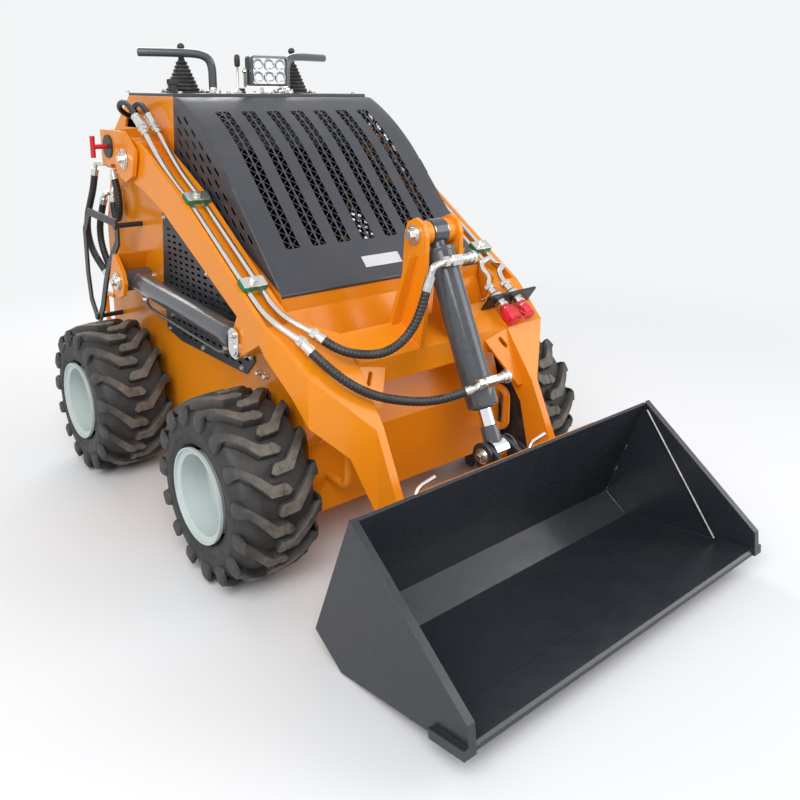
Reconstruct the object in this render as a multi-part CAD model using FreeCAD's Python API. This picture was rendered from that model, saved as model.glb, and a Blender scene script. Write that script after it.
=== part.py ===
"""Compact wheeled skid steer loader with a bucket, one solid assembly per named piece.

Millimetres. X is across the machine, Y runs from the bucket to the operator's end, Z is up.
Inside this file every y is measured from the front axle; write() moves the pieces so that
the origin lies on the ground below the middle of the machine's length.
"""
import FreeCAD, Part
import math
import os
from FreeCAD import Vector

# Overall layout
wheel_base = 790.0
tyre_radius = 230.0
tyre_width = 216.0
bucket_reach = 845.0
rear_reach = 1300.0
body_half_width = 333.0
track_half = body_half_width + 131.0
body_bottom = 147.0
top_height = 1150.0
plate = 8.0
thin_plate = 4.0
running_gap = 0.05
touch_gap = 0.3
engine_half = 210.0
engine_top = 560.0
step_top = 213.0
step_front = 1040.0

# Tyre and rim; a lug's outline is (distance outwards from the tread's middle, arc length)
tread_radius = 207.0
lug_rows = 15
carcass_facets = 15
lug_depth = 34.0
lug_lean = 0.087
lug_outline = [(-20.0, 13.0), (34.0, 13.0), (90.0, -46.0), (90.0, -84.0), (22.0, -14.0), (-20.0, -10.0)]
lug_foot = (107.0, 172.0, -70.0)
rim_flange_radius = 117.0
rim_barrel_radius = 103.0
rim_half_width = 109.0
rim_lip = 9.0
rim_seat_taper = 4.0
rim_wall = 4.0
rim_disc_x = 26.0
rim_bore_radius = 42.0
wheel_bolt_circle = 55.0
wheel_bolt_radius = 8.0
wheel_bolts = 5
hub_radius = 48.0
hub_shaft_radius = 20.0
housing_radius = 46.0
housing_reach = body_half_width + 95.0
running_face_gap = 4.0

# Pivots, as (y, z) from the front axle line and the ground
boom_pivot = (615.0, 971.0)
lift_base_pin = (733.0, 597.0)
lift_rod_pin = (50.0, 553.0)
tilt_top_pin = (-190.0, 827.0)
bucket_pivot = (-355.0, 140.0)
tilt_rod_pin = (-420.0, 328.0)

# Boom arms
arm_inner_x = body_half_width + 12.0
arm_outer_x = arm_inner_x + 80.0
arm_side_plate = 12.0
arm_channel_depth = 22.0
arm_foot_outer_x = 274.0
arm_foot_inner_x = 252.0
arm_boss_radius = 60.0
arm_lug_radius = 31.0
arm_foot_radius = 38.0
fork_gap_half = 23.0
cylinder_x = (arm_inner_x + arm_outer_x) / 2.0
pin_radius = 18.0
bucket_pin_radius = 14.0
ear_inner_x = arm_outer_x + 5.0
ear_outer_x = ear_inner_x + 12.0

# Tilt tower
tower_inner_x = 50.0
tower_outer_x = 62.0
tower_top_radius = 40.0
tower_boss_radius = 30.0
tilt_eye_half = 22.0

# Rigid pipes on the arms, and what they feed; |x| of the outer and the inner pipe
pipe_radius = 7.5
nut_radius = 11.0
ferrule_radius = 12.0
tilt_hose_radius = 11.0
boom_hose_radius = 8.0
rear_hose_radius = 11.0
outer_pipe_x = cylinder_x + 17.0
inner_pipe_x = cylinder_x - 19.0

# Corner gussets of the boom: corners as (x, y, z) on the left side
gusset_beam_corner = (170.0, -212.0, 520.0)
gusset_arm_corner = (252.0, -212.0, 540.0)
gusset_tip = (252.0, -276.0, 400.0)
gusset_slot_middle = (227.0, -223.0, 507.0)
gusset_plate = 8.0
gusset_blunt = 14.0
gusset_slot_length = 36.0
gusset_slot_width = 13.0

# Cylinders
lift_barrel_radius = 31.0
lift_closed_gap = 62.4
lift_rod_radius = 17.0
tilt_barrel_radius = 37.0
tilt_closed_gap = 109.5
tilt_rod_radius = 18.0
eye_radius = 33.0
tilt_ports = (("upper", 85.0), ("lower", 385.0))
tilt_port_stand = 10.0
tilt_port_boss_x = 24.0
tilt_port_hose_x = -40.0

# Hood
hood_half_width = body_half_width
hood_wall = 4.0
hood_columns = 7
hood_cells = 10
hood_lip = (-15.0, 683.0)
hood_step = (415.0, top_height - 247.0)
hood_foot = (528.0, top_height - 161.0)
hood_back = (515.0, top_height - plate)
hood_knee = (250.0, top_height - 179.0)
hood_middle = (357.0, top_height - 85.0)
hood_top = (482.0, top_height - 12.0)
hood_first_cell_y = 60.0
hood_column_pitch = 80.0
hood_column_width = 42.0
hood_bar = 4.0

# Bucket
bucket_half_width = 500.0
bucket_edge_depth = 90.0
bucket_edge_plate = 6.0
bucket_strip = 6.0
wear_block = 12.0
bucket_side_plate = 12.0
bucket_plate = 8.0
attach_offset = 6.0
attach_plate = 12.0
attach_half_width = 300.0
attach_ear = 10.0
side_clearance = 5.0


def export_shift():
    """The move along Y that brings the origin under the middle of the length."""
    return Vector(0, (bucket_reach - rear_reach) / 2.0, 0)


def write(name, *shapes):
    """Store one node, as one shape or a group of separate solids."""
    whole = shapes[0] if len(shapes) == 1 else Part.makeCompound(list(shapes))
    moved = whole.copy()
    moved.translate(export_shift())
    moved.exportStep("parts/%s.step" % name)


def mirrored(shape):
    return shape.mirror(Vector(0, 0, 0), Vector(1, 0, 0))


def both_sides(shape):
    return [shape, mirrored(shape)]


def block(x0, x1, y0, y1, z0, z1):
    return Part.makeBox(x1 - x0, y1 - y0, z1 - z0, Vector(x0, y0, z0))


def side_prism(points, x0, x1):
    """A solid from an outline of (y, z) points, from x0 to x1."""
    ring = [Vector(x0, y, z) for y, z in points]
    return Part.Face(Part.makePolygon(ring + ring[:1])).extrude(Vector(x1 - x0, 0, 0))


def plan_prism(points, z0, z1):
    """A solid from an outline of (x, y) points, from z0 to z1."""
    ring = [Vector(x, y, z0) for x, y in points]
    return Part.Face(Part.makePolygon(ring + ring[:1])).extrude(Vector(0, 0, z1 - z0))


def cross_cylinder(radius, x0, x1, centre):
    """A cylinder along X round a (y, z) centre."""
    y, z = centre
    return Part.makeCylinder(radius, x1 - x0, Vector(x0, y, z), Vector(1, 0, 0))


def fused(shapes):
    whole = shapes[0].multiFuse(list(shapes[1:])) if len(shapes) > 1 else shapes[0]
    return whole.removeSplitter()


def bent_plate(points, thickness, x0, x1):
    """A folded plate across the machine, whose outer face follows (y, z) points."""
    inner = []
    count = len(points)
    for index in range(count):
        before = points[max(index - 1, 0)]
        after = points[min(index + 1, count - 1)]
        here = points[index]
        into = unit(before, here) if index > 0 else unit(here, after)
        out = unit(here, after) if index < count - 1 else into
        normal = (-(into[1] + out[1]) / 2.0, (into[0] + out[0]) / 2.0)
        size = normal[0] ** 2 + normal[1] ** 2
        inner.append((here[0] + thickness * normal[0] / size, here[1] + thickness * normal[1] / size))
    return side_prism(points + inner[::-1], x0, x1)


def unit(a, b):
    length = math.hypot(b[0] - a[0], b[1] - a[1])
    return ((b[0] - a[0]) / length, (b[1] - a[1]) / length)


def smooth_path(points):
    """A wire of straight runs joined by tangent arcs through a route of points."""
    edges = []
    start = points[0]
    for index in range(1, len(points) - 1):
        here = points[index]
        back = (points[index - 1] - here).normalize()
        ahead = (points[index + 1] - here).normalize()
        turn = math.pi - back.getAngle(ahead)
        run = min((points[index - 1] - here).Length, (points[index + 1] - here).Length)
        reach = 0.45 * run
        first = here + back * reach
        last = here + ahead * reach
        radius = reach / math.tan(turn / 2.0)
        bisector = (back + ahead).normalize()
        centre = here + bisector * math.hypot(radius, reach)
        middle = centre - bisector * radius
        edges.append(Part.LineSegment(start, first).toShape())
        edges.append(Part.Arc(first, middle, last).toShape())
        start = last
    edges.append(Part.LineSegment(start, points[-1]).toShape())
    return Part.Wire(edges)


def bend_radii(points):
    radii = []
    for index in range(1, len(points) - 1):
        back = (points[index - 1] - points[index]).normalize()
        ahead = (points[index + 1] - points[index]).normalize()
        turn = math.pi - back.getAngle(ahead)
        run = min((points[index - 1] - points[index]).Length, (points[index + 1] - points[index]).Length)
        radii.append(0.45 * run / math.tan(turn / 2.0))
    return radii


def tube(points, radius):
    """A round bar along a route of points."""
    path = smooth_path(points)
    profile = Part.Wire([Part.Circle(points[0], points[1] - points[0], radius).toShape()])
    return path.makePipeShell([profile], True, True)


# Wheels

def tyre_section():
    """The carcass outline as (x, radius), from bead to bead over the tread."""
    half = tyre_width / 2.0
    seat = rim_half_width - rim_lip - rim_seat_taper
    side = [
        (-seat + touch_gap * 2, rim_barrel_radius + 2.0),
        (-half + 3, rim_flange_radius + 14),
        (-half + 6, tread_radius - 30),
        (-half + 24, tread_radius),
    ]
    return side + [(-x, r) for x, r in side[::-1]]


def facet_solid(faces):
    """A closed solid from flat polygons, each a list of corner points."""
    skins = [Part.Face(Part.makePolygon(list(ring) + [ring[0]])) for ring in faces]
    shell = Part.Shell(skins)
    solid = Part.Solid(shell)
    if solid.Volume < 0:
        solid.reverse()
    return solid


def on_tyre(x, radius, angle):
    """A point at an angle from the tyre's top towards the front."""
    return Vector(x, -radius * math.sin(angle), radius * math.cos(angle))


def tyre_carcass():
    """The tyre's body in flat facets round X."""
    section = tyre_section()
    count = len(section)
    turn = 2.0 * math.pi / carcass_facets
    swell = 1.0 / math.cos(turn / 2.0)
    faces = []
    for facet in range(carcass_facets):
        start, end = facet * turn, (facet + 1) * turn
        for index in range(count):
            x0, r0 = section[index]
            x1, r1 = section[(index + 1) % count]
            r0, r1 = r0 * swell, r1 * swell
            faces.append([on_tyre(x0, r0, start), on_tyre(x1, r1, start),
                          on_tyre(x1, r1, end), on_tyre(x0, r0, end)])
    return facet_solid(faces)


def lug(side, phase):
    """One lug: a bent bar on the tread that runs down over the shoulder to a point."""
    def place(u, radius, arc):
        return on_tyre(side * u, radius, arc / tyre_radius + phase)

    count = len(lug_outline)
    low, high = 2, 3
    inward = on_tyre(0, -lug_depth, phase - lug_lean)
    top = [place(u, tyre_radius, arc) for u, arc in lug_outline]
    root = [corner + inward for corner in top]
    foot = place(*lug_foot)
    fan = [(0, 1, 4), (0, 4, 5), (1, 2, 3), (1, 3, 4)]
    faces = [[top[i], top[j], top[k]] for i, j, k in fan]
    faces += [[root[k], root[j], root[i]] for i, j, k in fan]
    for i in range(count):
        j = (i + 1) % count
        if i != low:
            faces.append([top[i], root[i], root[j], top[j]])
    faces += [[top[low], foot, top[high]], [foot, root[low], root[high]]]
    faces += [[top[low], root[low], foot], [top[high], foot, root[high]]]
    return facet_solid(faces)


def tyre():
    """Carcass with two staggered rows of lugs, centred on the origin."""
    step = 2.0 * math.pi / lug_rows
    lugs = []
    for side, offset in ((1, 0.0), (-1, 0.5)):
        for row in range(lug_rows):
            lugs.append(lug(side, (row + offset) * step))
    return tyre_carcass().multiFuse(lugs).removeSplitter()


def rim():
    """Deep dished rim for a wheel whose outer side faces +X."""
    w = rim_half_width
    t = rim_wall
    r = rim_barrel_radius
    section = [
        (w, rim_flange_radius), (w, rim_flange_radius - t), (w - 6, rim_flange_radius - t - 1),
        (w - 10, r - t), (rim_disc_x + t, r - t), (rim_disc_x + t - 12, rim_bore_radius + 22),
        (rim_disc_x + t - 12, rim_bore_radius), (rim_disc_x - 14, rim_bore_radius),
        (rim_disc_x - 14, rim_bore_radius + 22), (rim_disc_x - t, r - t), (-w + 10, r - t),
        (-w + 6, rim_flange_radius - t - 1), (-w, rim_flange_radius - t), (-w, rim_flange_radius),
        (-w + rim_lip, rim_flange_radius), (-w + rim_lip + rim_seat_taper, r),
        (w - rim_lip - rim_seat_taper, r), (w - rim_lip, rim_flange_radius),
    ]
    ring = [Vector(x, radius, 0) for x, radius in section]
    return Part.Face(Part.makePolygon(ring + ring[:1])).revolve(Vector(0, 0, 0), Vector(1, 0, 0), 360)


def hub():
    """Drive shaft end, flange and wheel bolts, for a wheel whose outer side faces +X."""
    flange_x = rim_disc_x - 14.0
    inner_x = housing_reach - track_half
    shaft = cross_cylinder(hub_shaft_radius, inner_x - 80.0, flange_x, (0, 0))
    flange = cross_cylinder(hub_radius + 24.0, flange_x - 10.0, flange_x, (0, 0))
    nose = cross_cylinder(rim_bore_radius - touch_gap, flange_x - 10.0, flange_x + 22.0, (0, 0))
    boss = cross_cylinder(hub_radius, inner_x + running_face_gap, flange_x - 10.0, (0, 0))
    bolts = []
    for index in range(wheel_bolts):
        angle = 2.0 * math.pi * index / wheel_bolts
        centre = (wheel_bolt_circle * math.cos(angle), wheel_bolt_circle * math.sin(angle))
        bolts.append(cross_cylinder(wheel_bolt_radius, rim_disc_x - 8.0, rim_disc_x + 6.0, centre))
    return fused([shaft, flange, nose, boss]), bolts


def write_wheels():
    tyre_shape = tyre()
    rim_shape = rim()
    hub_shape, bolts = hub()
    for name, side, y in (
        ("front_left", 1, 0.0), ("front_right", -1, 0.0),
        ("rear_left", 1, wheel_base), ("rear_right", -1, wheel_base),
    ):
        centre = Vector(side * track_half, y, tyre_radius)
        for label, group in (("tyre", [tyre_shape]), ("rim", [rim_shape]), ("hub", [hub_shape] + bolts)):
            placed = []
            for shape in group:
                piece = shape.copy() if side > 0 else mirrored(shape)
                piece.translate(centre)
                placed.append(piece)
            write("%s_%s" % (label, name), *placed)


# Chassis

def side_wall(outer_x, inner_x):
    """One side of the tub: upright, grille opening, hose arch and the two axle holes."""
    outline = [
        (-121, body_bottom), (-121, 330), (hood_lip[0], 640), hood_lip, hood_step, hood_foot, hood_back,
        (815, hood_back[1]), (947, 1036), (1067, 733), (1070, 300), (1000, body_bottom),
    ]
    wall = side_prism(outline, inner_x, outer_x)
    grille_hole = [(606, 795), (630, 590), (622, 470), (535, 450), (165, 450), (128, 487), (140, 545)]
    wall = wall.cut(side_prism(grille_hole, inner_x - 1, outer_x + 1))
    arch = [(740, 1048), (740, 1080), (760, 1102), (810, 1102), (850, 1070), (862, 1048)]
    wall = wall.cut(side_prism(arch, inner_x - 1, outer_x + 1))
    for y in (0.0, wheel_base):
        wall = wall.cut(cross_cylinder(housing_radius + touch_gap, inner_x - 1, outer_x + 1, (y, tyre_radius)))
    return wall


def pivot_ear():
    """The outer plate that carries the boom pin, with its rear web."""
    y, z = boom_pivot
    outline = [
        (780, 1046), (617, 1047), (546, 997), (y - 66, z), (y - 48, z - 45), (y, z - 66),
        (y + 36, z - 55), (685, 952), (780, 943),
    ]
    ear = side_prism(outline, ear_inner_x, ear_outer_x)
    ear = ear.cut(cross_cylinder(28, ear_inner_x - 1, ear_outer_x + 1, (722, 1000)))
    ear = ear.cut(cross_cylinder(pin_radius + running_gap, ear_inner_x - 1, ear_outer_x + 1, boom_pivot))
    web = block(body_half_width, ear_inner_x, 746, 754, 943, 1046)
    foot = block(body_half_width, ear_inner_x, 746, 780, 935, 943)
    return fused([ear, web, foot])


def lift_bracket():
    """The outer plate that carries the lift cylinder's base pin, with its webs."""
    y, z = lift_base_pin
    outline = [
        (y + 24, z + 80), (y + 8, z + 80), (y - 38, z + 36), (y - 52, z), (y - 36, z - 38), (y, z - 52),
        (y + 38, z - 40), (y + 62, z),
    ]
    ear = side_prism(outline, ear_inner_x, ear_outer_x)
    ear = ear.cut(cross_cylinder(pin_radius + running_gap, ear_inner_x - 1, ear_outer_x + 1, lift_base_pin))
    web = side_prism(
        [(y + 24, z + 80), (y + 62, z), (y + 50, z - 34), (y + 42, z - 30), (y + 53, z), (y + 15, z + 80)],
        body_half_width, ear_inner_x)
    return fused([ear, web])


def front_panel():
    front = [(-121, body_bottom), (-121, 330), (hood_lip[0], 640), (hood_lip[0], hood_lip[1] - 3)]
    inner = body_half_width - plate
    return bent_plate(front, -plate, -inner, inner)


def rear_panel():
    rear = [(815, top_height - 12), (947, 1032), (1063, 731), (1066, 302), (1000, body_bottom + plate)]
    inner = body_half_width - plate
    return bent_plate(rear, plate, -inner, inner)


def write_chassis():
    wall = side_wall(body_half_width, body_half_width - plate)
    for pin in (boom_pivot, lift_base_pin):
        hole = cross_cylinder(pin_radius + running_gap, body_half_width - 30, body_half_width + 27, pin)
        wall = wall.cut(hole)
    side = fused([wall, pivot_ear(), lift_bracket()])
    inner = body_half_width - plate
    floor = block(-inner, inner, -112, 1000, body_bottom, body_bottom + plate)
    rear_beam = block(-inner, inner, 980, 988, body_bottom + plate, 300)
    write("chassis_frame", fused(both_sides(side) + [floor, rear_beam]))

    write("front_panel", front_panel())
    write("rear_panel", rear_panel())
    write("console_top", block(
        -body_half_width, body_half_width, hood_back[0], 815, hood_back[1], top_height))
    write("engine_block", block(-engine_half, engine_half, 180, 620, body_bottom + plate, engine_top))


def hood_outline():
    """Front skin of the hood from its lip to the console, as an edge list in the side plane."""
    lip, knee, middle, top, end = [Vector(0, *p) for p in (hood_lip, hood_knee, hood_middle, hood_top, hood_back)]
    return [
        Part.LineSegment(lip, knee).toShape(),
        Part.Arc(knee, middle, top).toShape(),
        Part.LineSegment(top, end).toShape(),
    ]


def hood_body(inset):
    """The filled hood shape, smaller all round by inset."""
    lower = [Vector(0, y, z) for y, z in (hood_foot, hood_step, hood_lip)]
    edges = hood_outline()
    edges.append(Part.LineSegment(Vector(0, *hood_back), lower[0]).toShape())
    edges.append(Part.LineSegment(lower[0], lower[1]).toShape())
    edges.append(Part.LineSegment(lower[1], lower[2]).toShape())
    face = Part.Face(Part.Wire(edges))
    half = hood_half_width - inset
    face.translate(Vector(-half, 0, 0))
    return face.extrude(Vector(2 * half, 0, 0))


def hood_stations():
    """Points along the front skin, one at each end of a row of cells."""
    straight, arc, _ = hood_outline()
    slope = (hood_first_cell_y - hood_lip[0]) / (hood_knee[0] - hood_lip[0])
    start = straight.Length * slope
    ahead = straight.Length - start
    last = arc.Length * 0.86
    pitch = (ahead + last) / hood_cells
    places = []
    for index in range(hood_cells + 1):
        run = index * pitch
        on_line = run <= ahead
        edge = straight if on_line else arc
        distance = start + run if on_line else run - ahead
        places.append(edge.valueAt(edge.getParameterByLength(distance)))
    return places


def hood_column_tools():
    """Three-cornered tools for one column: two ranks of cells, each with a slanting bar."""
    stations = hood_stations()
    half = hood_column_width / 2.0
    tools = []
    for index in range(hood_cells):
        first, last = stations[index], stations[index + 1]
        along = (last - first).normalize()
        normal = Vector(0, -along.z, along.y)
        length = (last - first).Length - hood_bar
        for side in (1, -1):
            near, far = side * hood_bar / 2.0, side * half
            if index % 2:
                near, far = far, near
            bar = math.copysign(hood_bar * 0.7, far - near)
            for corners in (
                ((hood_bar * 1.6, near), (length, near), (length, far - bar)),
                ((0.0, near + bar), (0.0, far), (length - hood_bar * 1.6, far)),
            ):
                ring = [first + along * (s + hood_bar / 2.0) + Vector(x, 0, 0) - normal * 14.0 for s, x in corners]
                tools.append(Part.Face(Part.makePolygon(ring + ring[:1])).extrude(normal * 28.0))
    return tools


def hood():
    skin = hood_body(0)
    cavity = hood_body(hood_wall)
    cavity.translate(Vector(0, hood_wall * 0.7, -hood_wall * 0.7))
    below = hood_body(hood_wall)
    below.translate(Vector(0, 20, -40))
    shell = skin.cut(cavity).cut(below)
    return shell


def write_hood():
    tools = hood_column_tools()
    cutters = []
    for index in range(hood_columns):
        x = (index - (hood_columns - 1) / 2.0) * hood_column_pitch
        for tool in tools:
            placed = tool.copy()
            placed.translate(Vector(x, 0, 0))
            cutters.append(placed)
    write("hood", hood().cut(Part.makeCompound(cutters)))


def write_side_grilles():
    """Bolted panels over the side openings, with staggered rows of slots."""
    outline = [(618, 812), (640, 590), (632, 455), (540, 437), (160, 437), (115, 482), (128, 560)]
    panel = side_prism(outline, body_half_width, body_half_width + thin_plate)
    cutters = []
    for row in range(11):
        z = 470 + row * 28
        y = 170 + (row % 2) * 24 + max(0, z - 560) * 1.55
        while y + 26 < 600:
            cutters.append(side_prism(
                [(y, z), (y + 26, z), (y + 26, z + 8), (y, z + 8)], body_half_width - 1, body_half_width + 10))
            y += 48
    write("side_grilles", *both_sides(panel.cut(Part.makeCompound(cutters))))


def write_running_gear():
    housings = []
    for y in (0.0, wheel_base):
        tube_body = cross_cylinder(housing_radius, body_half_width - 60, housing_reach, (y, tyre_radius))
        bore = cross_cylinder(hub_shaft_radius + running_gap, 200, housing_reach + 1, (y, tyre_radius))
        housings += both_sides(tube_body.cut(bore))
    write("axle_housings", *housings)


def pin_with_head(radius, x0, x1, centre, head_radius, head):
    """A pin along X with a round head outside x1."""
    return fused([
        cross_cylinder(radius, x0, x1, centre),
        cross_cylinder(head_radius, x1, x1 + head, centre),
    ])


def write_chassis_pins():
    pins = []
    for centre in (boom_pivot, lift_base_pin):
        pins += both_sides(pin_with_head(pin_radius, 322, ear_outer_x, centre, 25, 7))
    write("chassis_pins", *pins)


def write_platform():
    """Operator's step behind the body, on two plates beside the walls."""
    half = body_half_width + plate
    step = block(-half, half, step_front, rear_reach, step_top - plate, step_top)
    kerb = block(-half, half, rear_reach - plate, rear_reach, step_top - 48, step_top - plate)
    outline = [
        (965, 165), (step_front, step_top - 48), (rear_reach, step_top - 48), (rear_reach, step_top),
        (step_front, step_top), (965, 290),
    ]
    sides = both_sides(side_prism(outline, body_half_width, half))
    write("step_platform", fused([step, kerb] + sides).cut(rear_panel()))


def write_controls():
    top = top_height
    handles = []
    for side in (1, -1):
        tip = body_half_width - 8
        route = [(130, 667, top + 8), (130, 667, top + 112), (tip, 739, top + 116)]
        handles.append(fused([
            tube([Vector(side * x, y, z) for x, y, z in route], 13),
            Part.makeCylinder(24, 8, Vector(side * 130, 667, top)),
        ]))
    write("grab_handles", *handles)
    levers = []
    for side in (1, -1):
        base = Vector(side * 196, 734, top)
        levers.append(fused([
            block(base.x - 46, base.x + 46, base.y - 46, base.y + 46, top, top + 6),
            Part.makeCone(44, 14, 84, base + Vector(0, 0, 6)),
            Part.makeCylinder(10, 34, base + Vector(0, 0, 88)),
            Part.makeSphere(16, base + Vector(0, 0, 126)),
        ]))
    write("drive_levers", *levers)
    lever = fused([
        Part.makeCylinder(4, 80, Vector(-60, 640, top)),
        Part.makeCylinder(9, 34, Vector(-60, 640, top + 72)),
    ])
    write("throttle_lever", lever)
    lamp = fused([
        block(-65, 65, 548, 600, top + 22, top + 110),
        block(-20, 20, 560, 590, top, top + 24),
    ])
    write("work_lamp", lamp)


# Boom

def arm_profile():
    """The arm's outline in the side plane, without its bosses."""
    return [
        (545, 1013), (323, 899), (-4, 684), (-110, 618), (-213, 543), (-308, 419), (-385, 261),
        (-392, 190), (-393, 140), (-317, 140), (-308, 208), (-271, 348), (-167, 480), (-62, 588),
        (22, 541), (50, 525), (80, 552), (72, 575), (38, 636), (416, 842), (538, 889), (630, 914),
        (660, 960), (640, 1010), (600, 1028),
    ]


def arm_plan():
    """The arm's band seen from above on the +X side: straight, then turning in to the foot."""
    return [
        (arm_outer_x, 700), (arm_outer_x, -85), (arm_outer_x - 33, -213), (arm_foot_outer_x, -308),
        (arm_foot_outer_x, -440), (arm_foot_inner_x, -440), (arm_foot_inner_x, -130),
        (arm_inner_x, -72), (arm_inner_x, 700),
    ]


def arm():
    """Left arm: a box beam with a pipe channel in its top, a fork for the rod and a foot plate."""
    inner, outer = arm_foot_inner_x - 50, arm_outer_x + 35
    body = side_prism(arm_profile(), inner, outer)
    body = body.fuse(cross_cylinder(arm_foot_radius, inner, outer, bucket_pivot))
    body = body.common(plan_prism(arm_plan(), 0, 1200))
    body = body.fuse(cross_cylinder(arm_boss_radius, arm_inner_x, arm_outer_x, boom_pivot))
    depth = arm_channel_depth
    channel = side_prism(
        [(560, 1050), (560, 1020 - depth), (323, 899 - depth), (-4, 684 - depth), (-84, 634 - depth),
         (-84, 700)],
        arm_inner_x + arm_side_plate, arm_outer_x - arm_side_plate)
    body = body.cut(channel)
    fork = block(cylinder_x - fork_gap_half, cylinder_x + fork_gap_half, -30, 130, 400, 628)
    body = body.cut(fork)
    body = body.cut(cross_cylinder(pin_radius + running_gap, inner, outer, boom_pivot))
    return body.cut(cross_cylinder(bucket_pin_radius + running_gap, inner, outer, bucket_pivot)).removeSplitter()


def slot_tool(middle, along, normal, length, width, depth):
    """A tool for a slot with round ends, cut along normal through a plate."""
    side = along.cross(normal)
    reach = (length - width) / 2.0
    core = [middle + along * (reach * i) + side * (width / 2.0 * j) for i, j in ((1, 1), (-1, 1), (-1, -1), (1, -1))]
    bar = Part.Face(Part.makePolygon(core + core[:1])).extrude(normal * depth)
    ends = [Part.makeCylinder(width / 2.0, depth, middle + along * (reach * i), normal) for i in (1, -1)]
    tool = fused([bar] + ends)
    tool.translate(normal * (-depth / 2.0))
    return tool


def corner_gusset():
    """Sloping corner plate between the cross member and an arm's foot, with a lashing slot."""
    beam = Vector(*gusset_beam_corner)
    corner = Vector(*gusset_arm_corner)
    tip = Vector(*gusset_tip)
    normal = (corner - beam).cross(tip - beam).normalize()
    blunt = tip + (beam - corner).normalize() * gusset_blunt
    face = Part.Face(Part.makePolygon([beam, corner, tip, blunt, beam]))
    plate_body = face.extrude(normal * gusset_plate).common(block(0, arm_foot_inner_x, -400, 0, 300, 700))
    along = (tip - beam).normalize()
    middle = Vector(*gusset_slot_middle)
    return plate_body.cut(slot_tool(middle, along, normal, gusset_slot_length, gusset_slot_width, 60.0))


def write_boom():
    left = arm()
    write("boom_arm_left", left)
    write("boom_arm_right", mirrored(left))
    inner = arm_foot_inner_x
    beam = side_prism([(-132, 600), (-212, 545), (-205, 480), (-132, 480)], -inner, inner)
    write("boom_cross_member", fused([beam] + both_sides(corner_gusset())))
    y, z = tilt_top_pin
    outline = [
        (-132, 600), (-212, 545), (-227, 621), (y - tower_top_radius, z), (y - 28, z + 28), (y, z + 40),
        (y + 28, z + 28), (y + tower_top_radius - 2, z),
    ]
    sides = []
    for part in both_sides(side_prism(outline, tower_inner_x, tower_outer_x)):
        sides.append(part)
    for part in both_sides(cross_cylinder(tower_boss_radius, tilt_eye_half + 1.5, tower_inner_x, tilt_top_pin)):
        sides.append(part)
    rib = side_prism([(-206, 778), (-196, 778), (-126, 596), (-140, 594)], tower_outer_x, tower_outer_x + 30)
    sides += both_sides(rib)
    tower = fused(sides).cut(beam)
    bore = cross_cylinder(pin_radius + touch_gap, -90, 90, tilt_top_pin)
    tower = tower.cut(bore)
    write("tilt_tower", *tower.Solids)
    pins = [cross_cylinder(pin_radius, -tower_outer_x, tower_outer_x, tilt_top_pin)]
    pins += both_sides(cross_cylinder(23, tower_outer_x, tower_outer_x + 6, tilt_top_pin))
    write("tilt_top_pin", fused(pins))
    heads = []
    for x0, x1 in ((arm_outer_x, arm_outer_x + 4.0),):
        heads += both_sides(cross_cylinder(26, x0, x1, lift_rod_pin))
    write("lift_rod_pins", *heads)


def cylinder_barrel(base, tip, barrel_radius, length, rod_radius, eye_half, pin):
    """Barrel with its base eye, along the line from base to tip."""
    axis = (tip - base).normalize()
    barrel = Part.makeCylinder(barrel_radius, length - 44, base + axis * 44, axis)
    neck = Part.makeCylinder(min(barrel_radius * 0.7, eye_half - 2.0), 30, base + axis * 22, axis)
    eye = cross_cylinder(eye_radius, base.x - eye_half, base.x + eye_half, (base.y, base.z))
    body = fused([barrel, neck, eye])
    body = body.cut(cross_cylinder(pin + running_gap, base.x - 60, base.x + 60, (base.y, base.z)))
    bore = Part.makeCylinder(rod_radius + 1.0, length, base + axis * 60, axis)
    return body.cut(bore)


def cylinder_rod(base, tip, rod_radius, buried, eye_half, eye):
    """Rod with its eye at the tip, reaching back into the barrel."""
    axis = (tip - base).normalize()
    span = (tip - base).Length
    rod = Part.makeCylinder(rod_radius, span - buried - eye * 0.7, base + axis * buried, axis)
    ring = cross_cylinder(eye, tip.x - eye_half, tip.x + eye_half, (tip.y, tip.z))
    return fused([rod, ring])


def tilt_port_centre(run):
    """Middle of the cross fitting in front of the tilt barrel, at a run from its top pin, as (y, z)."""
    along = unit(tilt_top_pin, tilt_rod_pin)
    ahead = (along[1], -along[0])
    stand = tilt_barrel_radius + tilt_port_stand
    return (tilt_top_pin[0] + along[0] * run + ahead[0] * stand, tilt_top_pin[1] + along[1] * run + ahead[1] * stand)


def tilt_port(run):
    """Cross fitting with its bolt head, on a boss of the tilt barrel."""
    centre = tilt_port_centre(run)
    along = unit(tilt_top_pin, tilt_rod_pin)
    back = Vector(0, -along[1], along[0])
    boss = Part.makeCylinder(9, tilt_port_stand + 20, Vector(tilt_port_boss_x, *centre), back)
    return fused([
        cross_cylinder(ferrule_radius - 1, tilt_port_hose_x, 52, centre),
        cross_cylinder(16, 52, 60, centre),
        boss,
    ])


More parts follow.
